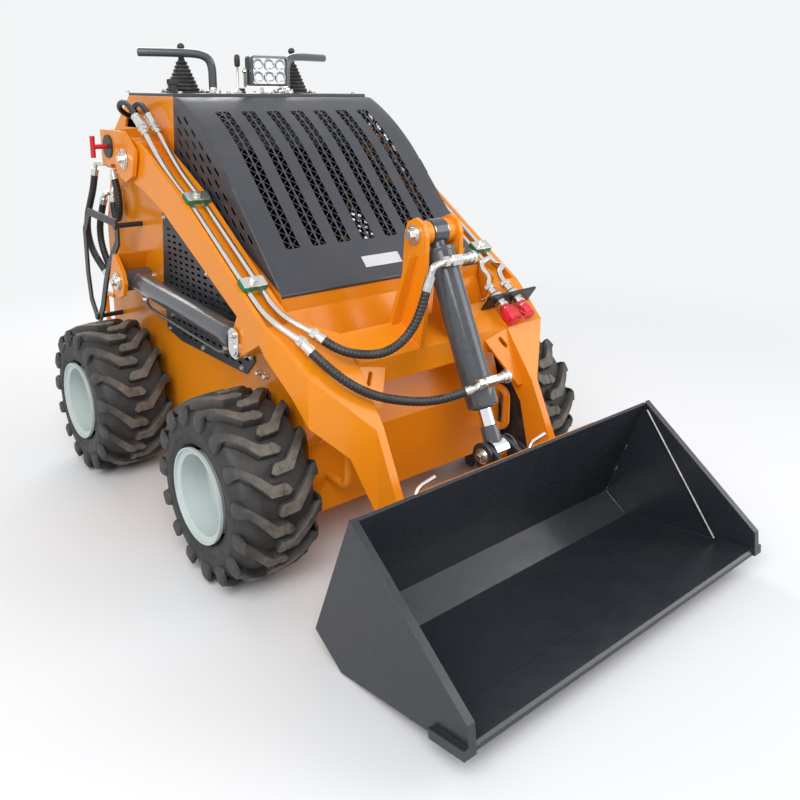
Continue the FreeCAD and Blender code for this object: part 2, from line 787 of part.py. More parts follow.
def write_cylinders():
    for name, side in (("left", 1), ("right", -1)):
        base = Vector(side * cylinder_x, *lift_base_pin)
        tip = Vector(side * cylinder_x, *lift_rod_pin)
        write("lift_barrel_" + name, cylinder_barrel(
            base, tip, lift_barrel_radius, (tip - base).Length - lift_closed_gap, lift_rod_radius, 40, pin_radius))
        write("lift_rod_" + name, cylinder_rod(base, tip, lift_rod_radius, 120, 20, 27))
    base = Vector(0, *tilt_top_pin)
    tip = Vector(0, *tilt_rod_pin)
    barrel = cylinder_barrel(
        base, tip, tilt_barrel_radius, (tip - base).Length - tilt_closed_gap, tilt_rod_radius, tilt_eye_half, pin_radius)
    fittings = []
    for name, run in tilt_ports:
        fittings += [tilt_port(run), hose_end_fitting(
            tilt_hose_routes[name], tilt_port_hose_x, tilt_port_centre(run))]
    write("tilt_barrel", fused([barrel] + fittings))
    write("tilt_rod", cylinder_rod(base, tip, tilt_rod_radius, 120, tilt_eye_half, 30))


# Pipes, hoses and their fittings

def rod_between(a, b, radius):
    return Part.makeCylinder(radius, (b - a).Length, a, b - a)


def arm_top(y):
    """Height of the arm's top edge."""
    edge = [p for p in arm_profile() if p[1] > 400][:5]
    for (y1, z1), (y0, z0) in zip(edge, edge[1:]):
        if y0 <= y <= y1:
            return z0 + (z1 - z0) * (y - y0) / (y1 - y0)
    return edge[-1][1]


def pipe_clamp(y):
    """A block in the arm's channel that holds both pipes, with its cover and bolt."""
    along = unit((323, 899), (-4, 684))
    up = (along[1], -along[0])
    floor = -arm_channel_depth * up[1]
    base = (y, arm_top(y))

    def at(run, lift):
        return (base[0] + along[0] * run + up[0] * lift, base[1] + along[1] * run + up[1] * lift)

    x0 = arm_inner_x + arm_side_plate + touch_gap
    x1 = arm_outer_x - arm_side_plate - touch_gap
    ring = [at(-15, floor), at(15, floor), at(15, 8), at(-15, 8)]
    cover = [at(-15, 8), at(15, 8), at(15, 11), at(-15, 11)]
    middle = at(0, 11)
    bolt = Part.makeCylinder(8, 6, Vector(cylinder_x, *middle), Vector(0, *up))
    return [side_prism(ring, x0, x1), side_prism(cover, x0 + 4, x1 - 4), bolt]


def pipe_routes():
    """The rigid part of each pipe on an arm, from its rear nut: (x, y, z) on the +X side."""
    a, b = outer_pipe_x, inner_pipe_x
    return {
        "outer": [(a, 611, 1087), (a, 553, 1043), (a, 429, 945), (a, 300, 877), (a, -30, 664), (a, -88, 645)],
        "inner": [(b, 606, 1089), (b, 548, 1045), (b, 428, 946), (b, 298, 876), (b, -28, 665), (b, -86, 647)],
    }


# Ends of the pipes of the -X arm as (|x|, y, z): last bend, nut, and the start of the hose
pipe_ends = {
    "outer": [(373, -155, 611), (361, -187, 588)],
    "inner": [(334, -150, 621), (322, -180, 607)],
}
# Ends of the pipes of the +X arm, down to the back of each coupler
coupler_ends = {
    "outer": [(395, -62, 672), (342, -90, 662), (330, -124, 640)],
    "inner": [(352, -47, 697), (292, -62, 684), (292, -104, 656), (264, -126, 638)],
}
# Couplers on the +X arm: pipe, x, cap radius, cap length
couplers = (("inner", 262.0, 20.0, 40.0), ("outer", 328.0, 16.0, 34.0))
coupler_lift = 27.0
coupler_back = 32.0
coupler_front = 92.0
coupler_plate_run = 52.0


def route_pipe(points, x_sign):
    """A pipe with the nut and ferrule of the hose at its rear end."""
    places = [Vector(x_sign * x, y, z) for x, y, z in points]
    rear, nut = places[0], places[1]
    toward = (nut - rear).normalize()
    return fused([
        tube(places[1:], pipe_radius),
        rod_between(nut - toward * 24, nut + toward * 6, nut_radius),
        rod_between(rear, nut - toward * 24, ferrule_radius),
    ])


def arm_frame(run, lift):
    """A (y, z) point on the arm's lower top face: run down along it, lift away from it."""
    along = unit((-110, 618), (-213, 543))
    up = (along[1], -along[0])
    return (-110 + along[0] * run + up[0] * lift, 618 + along[1] * run + up[1] * lift)


def coupler_set():
    """Quick couplers with their caps, through a bent plate on the +X arm."""
    pieces = []
    for name, x, cap_radius, cap_length in couplers:
        ends = [Vector(x, *arm_frame(run, coupler_lift)) for run in
                (coupler_back, coupler_front, coupler_front + cap_length)]
        pieces += [rod_between(ends[0], ends[1], ferrule_radius + 1), rod_between(ends[1], ends[2], cap_radius)]
    run = coupler_plate_run
    upright = [arm_frame(run, 0), arm_frame(run + 6, 0), arm_frame(run + 6, 52), arm_frame(run, 52)]
    flange = [arm_frame(run - 30, 0), arm_frame(run, 0), arm_frame(run, 6), arm_frame(run - 30, 6)]
    pieces.append(side_prism(upright, 212, 396))
    pieces.append(side_prism(flange, 260, 392))
    return fused(pieces)


def write_pipes():
    right = []
    for name, route in pipe_routes().items():
        bend, start = pipe_ends[name]
        pipe = route_pipe(route + [bend], -1)
        last = Vector(-bend[0], bend[1], bend[2])
        hose = Vector(-start[0], start[1], start[2])
        toward = (hose - last).normalize()
        right += [pipe, rod_between(last - toward * 8, last + toward * 14, nut_radius),
                  rod_between(last + toward * 14, hose, ferrule_radius)]
    left = []
    for name, x, cap_radius, cap_length in couplers:
        back = (x,) + arm_frame(coupler_back, coupler_lift)
        route = pipe_routes()[name][:-1] + coupler_ends[name]
        pipe = route_pipe(route, 1)
        nut = Vector(*route[-1])
        left += [pipe, rod_between(nut, Vector(*back), nut_radius)]
    clamps = []
    for y in (300, 30):
        clamps += pipe_clamp(y)
    joined = fused(left + clamps).cut(coupler_set())
    write("boom_pipes", joined, fused(right + [mirrored(c) for c in clamps]))


def write_couplers():
    write("couplers", coupler_set())


# Hoses as (x, y, z) routes on the -X side: tilt hoses, boom hoses into the wall's arch, rear hoses
tilt_hose_routes = {
    "lower": [(-361, -187, 588), (-346.4, -226, 559.9), (-312, -258, 523), (-262, -283, 491), (-206, -308, 473),
              (-152, -338, 466), (-108, -366, 473), (-72, -386, 486)],
    "upper": [(-322, -180, 607), (-307.6, -216, 590.2), (-262, -240, 577), (-214, -256, 574), (-166, -262, 590),
              (-130, -265, 622), (-108, -268, 664), (-95, -270, 706)],
}
boom_hose_routes = {
    "outer": [(-402, 611, 1087), (-402, 648, 1115), (-401, 690, 1126), (-396, 732, 1121), (-384, 770, 1107),
              (-360, 800, 1091), (-328, 816, 1078), (-292, 822, 1072), (-260, 824, 1070)],
    "inner": [(-366, 606, 1089), (-366, 642, 1116.3), (-364, 680, 1122), (-360, 716, 1112), (-350, 750, 1096),
              (-328, 776, 1081), (-298, 792, 1073), (-265, 800, 1070)],
}
rear_hose_routes = {
    "1": [(-386, 1006, 893), (-387, 1024, 848), (-388, 1058, 800), (-388, 1098, 745), (-388, 1108, 690),
          (-388, 1082, 640), (-388, 1030, 606), (-386, 976, 578)],
    "2": [(-366, 1004, 800), (-365, 1032, 762), (-364, 1060, 712), (-363, 1058, 654), (-362, 1018, 600),
          (-361, 972, 556)],
    "3": [(-360, 905, 880), (-362, 884, 848), (-363, 876, 812), (-362, 883, 778), (-360, 905, 756),
          (-357, 932, 762), (-355.5, 943, 784), (-355, 945, 808)],
}
# Where a rear hose's fitting goes on from its sleeve: hose, which end, extra corner or none
rear_fittings = (
    ("1", 0, (-385, 990, 932)), ("1", -1, None), ("2", 0, None), ("2", -1, None), ("3", 0, None), ("3", -1, None),
)


def write_hose(name, points, radius):
    places = [Vector(*p) for p in points]
    shape = tube(places, radius)
    print(name, "length", round(smooth_path(places).Length, 1), "radii", [round(r) for r in bend_radii(places)])
    write(name, shape)


def hose_end_fitting(route, port_x, port):
    """A bent steel end from a hose's last point to a cross fitting."""
    last, before = Vector(*route[-1]), Vector(*route[-2])
    away = (last - before).normalize()
    end = Vector(port_x, *port)
    span = (end - last).Length
    sleeve = last + away * (0.45 * span)
    corner = last + away * (0.72 * span)
    return fused([rod_between(last, sleeve, ferrule_radius), tube([sleeve, corner, end], pipe_radius + 1)])


def write_hoses():
    for name, route in tilt_hose_routes.items():
        write_hose("tilt_hose_" + name, route, tilt_hose_radius)
    for name, route in boom_hose_routes.items():
        for side, sign in (("right", 1), ("left", -1)):
            write_hose("boom_hose_%s_%s" % (side, name), [(sign * x, y, z) for x, y, z in route], boom_hose_radius)
    for name, route in rear_hose_routes.items():
        write_hose("rear_hose_" + name, route, rear_hose_radius)


def write_rear_fittings():
    """Ports in the rear of the -X wall, each with a bent end that meets its hose."""
    pieces = []
    for name, end_index, extra in rear_fittings:
        route = rear_hose_routes[name]
        end = Vector(*route[end_index])
        beside = Vector(*route[1 if end_index == 0 else -2])
        away = (end - beside).normalize()
        sleeve = end + away * 22
        corners = [end + away * 40]
        if extra:
            via = Vector(*extra)
            corners = [Vector(via.x + 5, via.y - 40, via.z - 2), via]
        port = Vector(-body_half_width, corners[0].y, corners[0].z)
        pieces.append(fused([
            rod_between(port, port + Vector(-10, 0, 0), nut_radius + 3),
            tube([port] + corners + [sleeve], pipe_radius),
            rod_between(sleeve, end, ferrule_radius),
        ]))
    write("hydraulic_fittings", *pieces)


# Frames, loops and the isolator on the chassis

def loop_handle(points, radius):
    return tube([Vector(*p) for p in points], radius)


def write_tie_downs():
    """Round-bar loops on the front panel and on the rear edge of each wall."""
    loops = []
    for x in (-277, 277):
        lower = loop_handle([(x, -121, 238), (x, -200, 238), (x, -200, 295)], 10)
        upper = loop_handle([(x, -200, 295), (x, -200, 352), (x, -100, 352)], 10)
        loops.append(fused([lower, upper]).cut(front_panel()).Solids[0])
    middle = body_half_width - plate / 2.0
    wall = side_wall(body_half_width, body_half_width - plate)
    for x in (-middle, middle):
        lower = loop_handle([(x, 1060, 362), (x, 1142, 366), (x, 1142, 418)], plate)
        upper = loop_handle([(x, 1142, 418), (x, 1142, 466), (x, 1060, 470)], plate)
        beside = wall if x > 0 else mirrored(wall)
        loop = fused([lower, upper]).cut(rear_panel()).cut(beside)
        loops.append(max(loop.Solids, key=lambda solid: solid.Volume))
    write("tie_down_handles", *loops)


def write_hose_guard():
    """Flat-bar guard outside the rear hoses of the -X side, on two spacers."""
    outer = [(785, 776), (1012, 786), (1072, 712), (1076, 560), (1062, 470), (1018, 414), (978, 410),
             (938, 462), (895, 552), (858, 612), (772, 700), (770, 750)]
    inner = [(800, 753), (1000, 762), (1046, 702), (1050, 566), (1038, 482), (1006, 440), (990, 438),
             (962, 474), (918, 564), (880, 626), (796, 712), (794, 740)]
    near = -arm_outer_x + 15
    frame = side_prism(outer, near - 6, near).cut(side_prism(inner, near - 10, near + 10))
    spacers = [cross_cylinder(8, near, -body_half_width, c) for c in ((783, 757), (997, 427))]
    heads = [cross_cylinder(11, near - 12, near - 6, c) for c in ((783, 757), (997, 427))]
    write("hose_guard", fused([frame] + spacers + heads))


def write_isolator():
    """Battery switch through the hole in the -X ear, with its T handle."""
    centre = (722, 1000)
    face = -ear_outer_x
    stem_end = face - 46
    bar = Part.makeCylinder(7, 62, Vector(stem_end, centre[0], centre[1] - 31))
    write("battery_isolator", fused([
        cross_cylinder(22, face, -ear_inner_x + 9, centre),
        cross_cylinder(33, face - 5, face, centre),
        cross_cylinder(7, stem_end, face - 5, centre),
        bar,
    ]))


# Bucket

def write_bucket():
    lip = (-500, 356)
    knee = (-392, 56)
    heel = (-472, 5)
    front = (-840, 62)
    inner = bucket_half_width - bucket_side_plate
    shell = bent_plate([front, heel, knee, lip], bucket_plate, -inner, inner)
    side = side_prism([(-507, 362), (-384, 56), (-476, 4), (-845, 61), (-838, 121)], inner, bucket_half_width)
    floor_along = unit(front, heel)
    floor_up = (-floor_along[1], floor_along[0])

    def floor_at(run, up):
        return (front[0] + floor_along[0] * run + floor_up[0] * up, front[1] + floor_along[1] * run + floor_up[1] * up)

    edge = side_prism(
        [floor_at(0, bucket_plate), floor_at(bucket_edge_depth, bucket_plate),
         floor_at(bucket_edge_depth, bucket_plate + bucket_edge_plate),
         floor_at(5, bucket_plate + bucket_edge_plate)], -inner, inner)
    strip = side_prism([(-507, 362), (-838, 121), (-845, 61), (-742, 45)], inner - bucket_strip, inner)
    wear = side_prism(
        [(-845, 61), (-755, 47), (-752, 67), (-843, 81)], bucket_half_width, bucket_half_width + wear_block)
    extras = both_sides(strip) + both_sides(wear)
    write("bucket_shell", fused([shell, edge] + both_sides(side) + extras))
    along = unit(knee, lip)
    normal = (along[1], -along[0])

    def at(s, d):
        return (knee[0] + along[0] * s + normal[0] * d, knee[1] + along[1] * s + normal[1] * d)

    plate_outline = [at(24, attach_offset), at(296, attach_offset), at(296, attach_offset + attach_plate),
                     at(24, attach_offset + attach_plate)]
    pieces = [side_prism(plate_outline, -attach_half_width, attach_half_width)]
    for s in (24, 270):
        rail = [at(s, 0.3), at(s + 26, 0.3), at(s + 26, attach_offset), at(s, attach_offset)]
        pieces.append(side_prism(rail, -attach_half_width, attach_half_width))
    near = attach_offset + attach_plate
    y, z = bucket_pivot
    ear = [at(24, near), at(30, 60), (y + 30, z - 12), (y + 30, z + 14), (y, z + 32), at(150, near)]
    near_x = arm_foot_inner_x - side_clearance
    far_x = arm_foot_outer_x + side_clearance
    for x0, x1 in ((near_x - attach_ear, near_x), (far_x, far_x + attach_ear)):
        pieces += both_sides(side_prism(ear, x0, x1))
    whole = fused(pieces)
    for bore in both_sides(cross_cylinder(
            bucket_pin_radius + running_gap, near_x - 30, far_x + 30, bucket_pivot)):
        whole = whole.cut(bore)
    write("attach_plate", whole)
    y, z = tilt_rod_pin
    tilt_ear = [at(215, near), (y + 6, z - 30), (y + 30, z), (y + 12, z + 28), (y - 16, z + 24), at(290, near)]
    write("tilt_ears", *both_sides(side_prism(tilt_ear, 27, 39)))
    pins = both_sides(cross_cylinder(
        bucket_pin_radius, near_x - attach_ear - 6, far_x + attach_ear + 6, bucket_pivot))
    write("bucket_pins", *pins)
    heads = both_sides(cross_cylinder(20, 39, 47, tilt_rod_pin))
    write("tilt_rod_pin", *heads)
    locks = []
    for x in (-286, 78):
        foot_y, foot_z = at(262, near)
        base = Vector(x, foot_y, foot_z)
        out = Vector(0, normal[0], normal[1])
        stem = Part.makeCylinder(9, 16, base, out)
        start = base + out * 10
        rod = tube([start, start + Vector(14, 4, 22), start + Vector(58, 0, 34)], 6)
        locks.append(fused([stem, rod]))
    write("lock_handles", *locks)


def main():
    os.makedirs("parts", exist_ok=True)
    write_wheels()
    write_chassis()
    write_hood()
    write_side_grilles()
    write_running_gear()
    write_chassis_pins()
    write_platform()
    write_controls()
    write_boom()
    write_cylinders()
    write_pipes()
    write_couplers()
    write_hoses()
    write_rear_fittings()
    write_tie_downs()
    write_hose_guard()
    write_isolator()
    write_bucket()


main()
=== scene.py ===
"""Looks of the compact stand-on skid steer loader."""

import math

import bmesh
import bpy
from mathutils import Matrix, Vector
from mathutils.geometry import delaunay_2d_cdt


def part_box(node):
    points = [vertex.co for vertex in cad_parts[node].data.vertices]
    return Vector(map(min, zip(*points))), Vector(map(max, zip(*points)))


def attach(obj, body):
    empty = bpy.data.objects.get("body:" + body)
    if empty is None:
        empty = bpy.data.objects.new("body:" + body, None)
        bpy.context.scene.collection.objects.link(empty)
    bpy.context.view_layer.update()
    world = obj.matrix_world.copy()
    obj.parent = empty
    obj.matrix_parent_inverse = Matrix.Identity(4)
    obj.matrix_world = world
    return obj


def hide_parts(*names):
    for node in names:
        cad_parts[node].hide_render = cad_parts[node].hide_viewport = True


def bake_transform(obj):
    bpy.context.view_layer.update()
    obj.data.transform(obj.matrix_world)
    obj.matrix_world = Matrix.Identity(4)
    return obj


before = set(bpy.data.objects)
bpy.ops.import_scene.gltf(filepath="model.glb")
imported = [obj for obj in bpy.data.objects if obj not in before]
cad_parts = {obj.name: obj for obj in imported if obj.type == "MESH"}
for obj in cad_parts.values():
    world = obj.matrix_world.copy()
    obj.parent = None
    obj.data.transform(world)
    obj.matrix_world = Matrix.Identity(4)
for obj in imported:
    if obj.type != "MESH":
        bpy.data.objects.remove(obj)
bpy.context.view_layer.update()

MM = 0.001
MERGE_DIST = 0.02 * MM
X_AXIS, Z_AXIS = (1, 0, 0), (0, 0, 1)
SIDES = (("left", 1), ("right", -1))
ARM_X = 385.0
WHEELBASE = 790.0
TURN = 2.0 * math.pi

# The front axle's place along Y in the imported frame.
hub_low, hub_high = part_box("hub_front_left")
AXLE_Y = (hub_low[1] + hub_high[1]) / 2.0


def at(x, y, z):
    """A point of the scene from millimetres measured from the ground under the front axle."""
    return Vector((x * MM, y * MM + AXLE_Y, z * MM))


def put(name, data):
    made = bpy.data.objects.new(name, data)
    bpy.context.scene.collection.objects.link(made)
    return made


# Node trees

class Nodes:
    """A node tree with short calls for its parts."""

    def __init__(self, tree):
        self.tree = tree

    def feed(self, socket, value):
        """Link a socket to another one, or set its own constant."""
        if isinstance(value, bpy.types.NodeSocket):
            self.tree.links.new(value, socket)
        elif socket.type == "RGBA":
            socket.default_value = (*value[:3], 1.0)
        else:
            socket.default_value = value

    def node(self, kind, inputs=None, **values):
        made = self.tree.nodes.new(kind)
        for key, value in values.items():
            setattr(made, key, value)
        for key, value in (inputs or {}).items():
            self.feed(made.inputs[key], value)
        return made

    def maths(self, kind, a, b=None):
        inputs = {0: a} if b is None else {0: a, 1: b}
        return self.node("ShaderNodeMath", inputs, operation=kind).outputs["Value"]

    def vector_maths(self, kind, a, b=None):
        inputs = {0: a} if b is None else {0: a, 1: b}
        return self.node("ShaderNodeVectorMath", inputs, operation=kind).outputs

    def seen_directly(self):
        """One for rays from the camera, off gloss or through glass, else zero."""
        path = self.node("ShaderNodeLightPath").outputs
        direct = self.maths("MAXIMUM", path["Is Camera Ray"], path["Is Glossy Ray"])
        return self.maths("MAXIMUM", direct, path["Is Transmission Ray"])


class Look(Nodes):
    """A material and its tree."""

    def __init__(self, name):
        self.material = bpy.data.materials.new(name)
        self.material.use_nodes = True
        super().__init__(self.material.node_tree)
        self.shader = self.tree.nodes["Principled BSDF"]
        self.place = self.node("ShaderNodeTexCoord").outputs["Object"]

    def noise(self, scale, detail=3.0, rough=0.55, stretch=None):
        place = self.place
        if stretch:
            place = self.node("ShaderNodeMapping", {"Scale": stretch, "Vector": place}).outputs["Vector"]
        inputs = {"Scale": scale, "Detail": detail, "Roughness": rough, "Vector": place}
        return self.node("ShaderNodeTexNoise", inputs).outputs["Fac"]

    def spread(self, source, low, high, to_low=0.0, to_high=1.0):
        inputs = {"Value": source, "From Min": low, "From Max": high, "To Min": to_low, "To Max": to_high}
        return self.node("ShaderNodeMapRange", inputs).outputs["Result"]

    def grain(self, noise, low, high, to_low=0.0, to_high=1.0):
        """A noise, given by its scale, detail and roughness, spread between two levels."""
        return self.spread(self.noise(*noise), low, high, to_low, to_high)

    def blend(self, share, a, b):
        """A colour between a and b; each is a colour or a socket."""
        return self.node("ShaderNodeMix", {0: share, 6: a, 7: b}, data_type="RGBA").outputs[2]

    def part(self, vector, axis):
        return self.node("ShaderNodeSeparateXYZ", {"Vector": vector}).outputs[axis]

    def normal(self):
        return self.node("ShaderNodeNewGeometry").outputs["Normal"]

    def dusty(self, base, colour, from_level, noise, low, high, amount):
        """A base with dust on what faces up, and how much of it lies there."""
        share = self.maths("MULTIPLY", self.spread(self.part(self.normal(), "Z"), from_level, 1.0),
                           self.grain(noise, low, high, 0.0, amount))
        return self.blend(share, base, colour), share

    def edges(self, radius):
        """How near a sharp edge is, and the rounded normal there."""
        rounded = self.node("ShaderNodeBevel", {"Radius": radius}, samples=4).outputs["Normal"]
        dot = self.vector_maths("DOT_PRODUCT", rounded, self.normal())["Value"]
        return self.spread(dot, 0.995, 0.86), rounded

    def finish(self, base, rough, height, strength, distance, normal=None, **more):
        """Feed the shader, with a bump over a normal; more names other inputs, with _ for a space."""
        bump = {"Strength": strength, "Distance": distance, "Height": height}
        if normal is not None:
            bump["Normal"] = normal
        feeds = {"Base Color": base, "Roughness": rough, "Normal": self.node("ShaderNodeBump", bump).outputs["Normal"]}
        feeds.update((key.replace("_", " "), value) for key, value in more.items())
        for key, value in feeds.items():
            self.feed(self.shader.inputs[key], value)
        return self.material


# Camera and light

YAW, PITCH, ROLL = math.radians(40.2), math.radians(13.7), math.radians(-0.4)
FOCAL_PX, IMAGE_PX = 822.4, 800.0
CENTRE_PX = (399.7, 289.2)
EYE = (-1348.9, -1657.3, 1167.0)
BACKDROP = (0.90, 0.91, 0.92)
FADE_START, FADE_END = 1.1, 3.4
FLOOR_HALF = 14


def make_camera():
    data = bpy.data.cameras.new("camera")
    data.sensor_width = 36.0
    data.sensor_fit = "HORIZONTAL"
    data.lens = FOCAL_PX / IMAGE_PX * data.sensor_width
    data.shift_x = (IMAGE_PX / 2.0 - CENTRE_PX[0]) / IMAGE_PX
    data.shift_y = (CENTRE_PX[1] - IMAGE_PX / 2.0) / IMAGE_PX
    data.clip_start, data.clip_end = 0.05, 100.0
    forward = Vector((math.sin(YAW) * math.cos(PITCH), math.cos(YAW) * math.cos(PITCH), -math.sin(PITCH)))
    right = Vector((math.cos(YAW), -math.sin(YAW), 0.0))
    down = forward.cross(right)
    right_rolled = right * math.cos(ROLL) + down * math.sin(ROLL)
    down_rolled = -right * math.sin(ROLL) + down * math.cos(ROLL)
    turn = Matrix((right_rolled, -down_rolled, -forward)).transposed().to_4x4()
    camera = put("camera", data)
    camera.matrix_world = Matrix.Translation(at(*EYE)) @ turn
    bpy.context.scene.camera = camera


def make_light(name, size, power, place, target):
    data = bpy.data.lights.new(name, "AREA")
    data.shape = "RECTANGLE"
    data.size, data.size_y = size
    data.energy = power
    lamp = put(name, data)
    lamp.location = place
    lamp.rotation_euler = (Vector(target) - Vector(place)).to_track_quat("-Z", "Y").to_euler()


def floor_look():
    """Pale paper that fades into the backdrop far from the machine."""
    look = Look("floor_paper")
    look.feed(look.shader.inputs["Base Color"], (0.80, 0.80, 0.80))
    look.feed(look.shader.inputs["Roughness"], 0.9)
    distance = look.vector_maths("LENGTH", look.place)["Value"]
    share = look.node("ShaderNodeMapRange", {"Value": distance, "From Min": FADE_START, "From Max": FADE_END},
                      interpolation_type="SMOOTHSTEP").outputs["Result"]
    glow = look.node("ShaderNodeEmission", {"Color": BACKDROP}).outputs["Emission"]
    mix = look.node("ShaderNodeMixShader", {
        0: look.maths("MULTIPLY", share, look.seen_directly()), 1: look.shader.outputs["BSDF"], 2: glow})
    look.feed(look.tree.nodes["Material Output"].inputs["Surface"], mix.outputs["Shader"])
    return look.material


def make_stage():
    scene = bpy.context.scene
    scene.view_settings.view_transform = "Standard"
    world = bpy.data.worlds.new("studio")
    world.use_nodes = True
    world.node_tree.nodes.clear()
    sky = Nodes(world.node_tree)
    soft = sky.node("ShaderNodeBackground", {"Color": (0.80, 0.83, 0.88), "Strength": 0.55}).outputs[0]
    plain = sky.node("ShaderNodeBackground", {"Color": BACKDROP, "Strength": 1.0}).outputs[0]
    mix = sky.node("ShaderNodeMixShader", {0: sky.seen_directly(), 1: soft, 2: plain})
    sky.node("ShaderNodeOutputWorld", {"Surface": mix.outputs["Shader"]})
    scene.world = world
    mesh = bpy.data.meshes.new("floor")
    corners = [(x * FLOOR_HALF, y * FLOOR_HALF, 0) for x, y in ((-1, -1), (1, -1), (1, 1), (-1, 1))]
    mesh.from_pydata(corners, [], [(0, 1, 2, 3)])
    floor = put("floor", mesh)
    mesh.materials.append(floor_look())
    make_light("key", (3.2, 2.4), 150.0, at(-2600, -2100, 3300), at(0, 200, 500))
    make_light("fill", (2.6, 2.6), 65.0, at(2600, -2600, 2200), at(0, 200, 500))
    make_light("back", (3.0, 2.0), 75.0, at(600, 3400, 2600), at(0, 200, 700))


# Forms

class Form:
    """Corners and faces of one piece, in millimetres from the front axle."""

    def __init__(self):
        self.corners, self.faces, self.tints = [], [], []

    def add(self, corners, faces, tints=None):
        start = len(self.corners)
        self.corners.extend(Vector(c) for c in corners)
        self.faces.extend(tuple(start + i for i in face) for face in faces)
        self.tints.extend(tints or [0.0] * len(corners))


def forms(count):
    return [Form() for _ in range(count)]


def tube_faces(rings, count, caps=True, looped=False):
    """Faces between rings of count corners each, with flat ends, or looped back to the first ring."""
    faces = []
    for r in range(rings if looped else rings - 1):
        here, there = r * count, (r + 1) % rings * count
        faces += [(here + k, here + (k + 1) % count, there + (k + 1) % count, there + k) for k in range(count)]
    if caps:
        faces += [tuple(range(count))[::-1], tuple(range((rings - 1) * count, rings * count))]
    return faces


def cross_axes(axis):
    axis = Vector(axis).normalized()
    side = axis.cross(Vector(X_AXIS) if abs(axis.x) < 0.9 else Vector((0, 1, 0))).normalized()
    return axis, side, axis.cross(side)


def lathe(form, base, axis, profile, count=28, turn=0.0):
    """A turned shape from rows of distance along the axis, radius and, if it has grip ribs, their height."""
    axis, side, up = cross_axes(axis)
    corners = []
    for along, radius, *rib in profile:
        for k in range(count):
            a = TURN * k / count + turn
            size = radius + (rib[0] if rib and k // 2 % 2 else 0.0)
            corners.append(Vector(base) + axis * along + side * (size * math.cos(a)) + up * (size * math.sin(a)))
    form.add(corners, tube_faces(len(profile), count))


def ring_profile(length, radius, chamfer, drop):
    """Profile of a short ring whose chamfered ends are smaller by a drop."""
    return [(0, radius - drop), (chamfer, radius), (length - chamfer, radius), (length, radius - drop)]


def prism(form, ring, offset):
    """A flat outline of points, thickened by an offset vector."""
    ring = [Vector(p) for p in ring]
    count = len(ring)
    caps = [tuple(range(count))[::-1], tuple(range(count, 2 * count))]
    form.add(ring + [p + Vector(offset) for p in ring], caps + tube_faces(2, count, caps=False))


def brick(form, x, y, z):
    prism(form, [(x[0], y[0], z[0]), (x[1], y[0], z[0]), (x[1], y[1], z[0]), (x[0], y[1], z[0])], (0, 0, z[1] - z[0]))


def smooth_line(points, step):
    """Evenly spaced points along the NURBS line that has the given control points, and its length."""
    data = bpy.data.curves.new("route", "CURVE")
    data.dimensions = "3D"
    spline = data.splines.new("NURBS")
    spline.points.add(len(points) - 1)
    for knot, place in zip(spline.points, points):
        knot.co = (place[0], place[1], place[2], 1.0)
    spline.order_u = 3
    spline.use_endpoint_u = True
    spline.resolution_u = 14
    holder = bpy.data.objects.new("route", data)
    mesh = bpy.data.meshes.new_from_object(holder)
    line = [v.co.copy() for v in mesh.vertices]
    bpy.data.objects.remove(holder)
    bpy.data.meshes.remove(mesh)
    bpy.data.curves.remove(data)
    runs = [0.0]
    for a, b in zip(line, line[1:]):
        runs.append(runs[-1] + (b - a).length)
    count = max(2, int(round(runs[-1] / step)))
    out, k = [], 0
    for i in range(count + 1):
        want = runs[-1] * i / count
        while k < len(runs) - 2 and runs[k + 1] < want:
            k += 1
        share = (want - runs[k]) / max(1e-9, runs[k + 1] - runs[k])
        out.append(line[k].lerp(line[k + 1], share))
    return out, runs[-1]


def sweep(form, line, radius, count=14):
    """A round bar along a line; radius is a number or a function of (run, angle)."""
    sizes = radius if callable(radius) else (lambda run, angle: radius)
    before, side, up = cross_axes(line[1] - line[0])
    corners, run = [], 0.0
    for i, place in enumerate(line):
        ahead = (line[min(i + 1, len(line) - 1)] - line[max(i - 1, 0)]).normalized()
        turn = before.rotation_difference(ahead)
        side, up, before = turn @ side, turn @ up, ahead
        if i:
            run += (place - line[i - 1]).length
        for k in range(count):
            angle = TURN * k / count
            size = sizes(run, angle)
            corners.append(place + side * (size * math.cos(angle)) + up * (size * math.sin(angle)))
    form.add(corners, tube_faces(len(line), count))


def hex_head(form, base, axis, across, height):
    """A hexagon head with its chamfered top, and a washer under it."""
    corner, washer = across / math.sqrt(3.0), 0.3 * height
    lathe(form, base, axis, [(0, corner * 1.28), (0.16 * height, corner * 1.32), (washer, corner * 1.28)], 24)
    lathe(form, Vector(base) + Vector(axis).normalized() * washer, axis,
          [(0, corner), (height * 0.8, corner), (height, corner * 0.84)], 6, 0.3)


def round_head(form, base, axis, radius, height):
    lathe(form, base, axis, [(0, radius), (height * 0.5, radius), (height * 0.85, radius * 0.8),
                             (height, radius * 0.45)], 18)


def rounded_ring(half_a, half_b, radius, count=4):
    ring = []
    for sa, sb, start in ((1, 1, 0.0), (-1, 1, 0.5), (-1, -1, 1.0), (1, -1, 1.5)):
        for k in range(count + 1):
            a = math.pi * (start + 0.5 * k / count)
            ring.append((sa * (half_a - radius) + radius * math.cos(a), sb * (half_b - radius) + radius * math.sin(a)))
    return ring


def weld(form, points, radius, seed=0.0):
    """A weld bead with its ripples, along straight runs between points."""
    ripple = 3.2
    line = []
    for a, b in zip(points, points[1:]):
        a, b = Vector(a), Vector(b)
        count = max(2, int((b - a).length / (ripple * 0.5)))
        line += [a.lerp(b, i / count) for i in range(count)]
    line.append(Vector(points[-1]))

    def size(run, angle):
        wave = abs(math.sin(math.pi * run / ripple + 0.5 * math.sin(run * 0.13 + seed)))
        return radius * (0.72 + 0.28 * wave + 0.08 * math.sin(run * 0.071 + seed))

    sweep(form, line, size, 8)


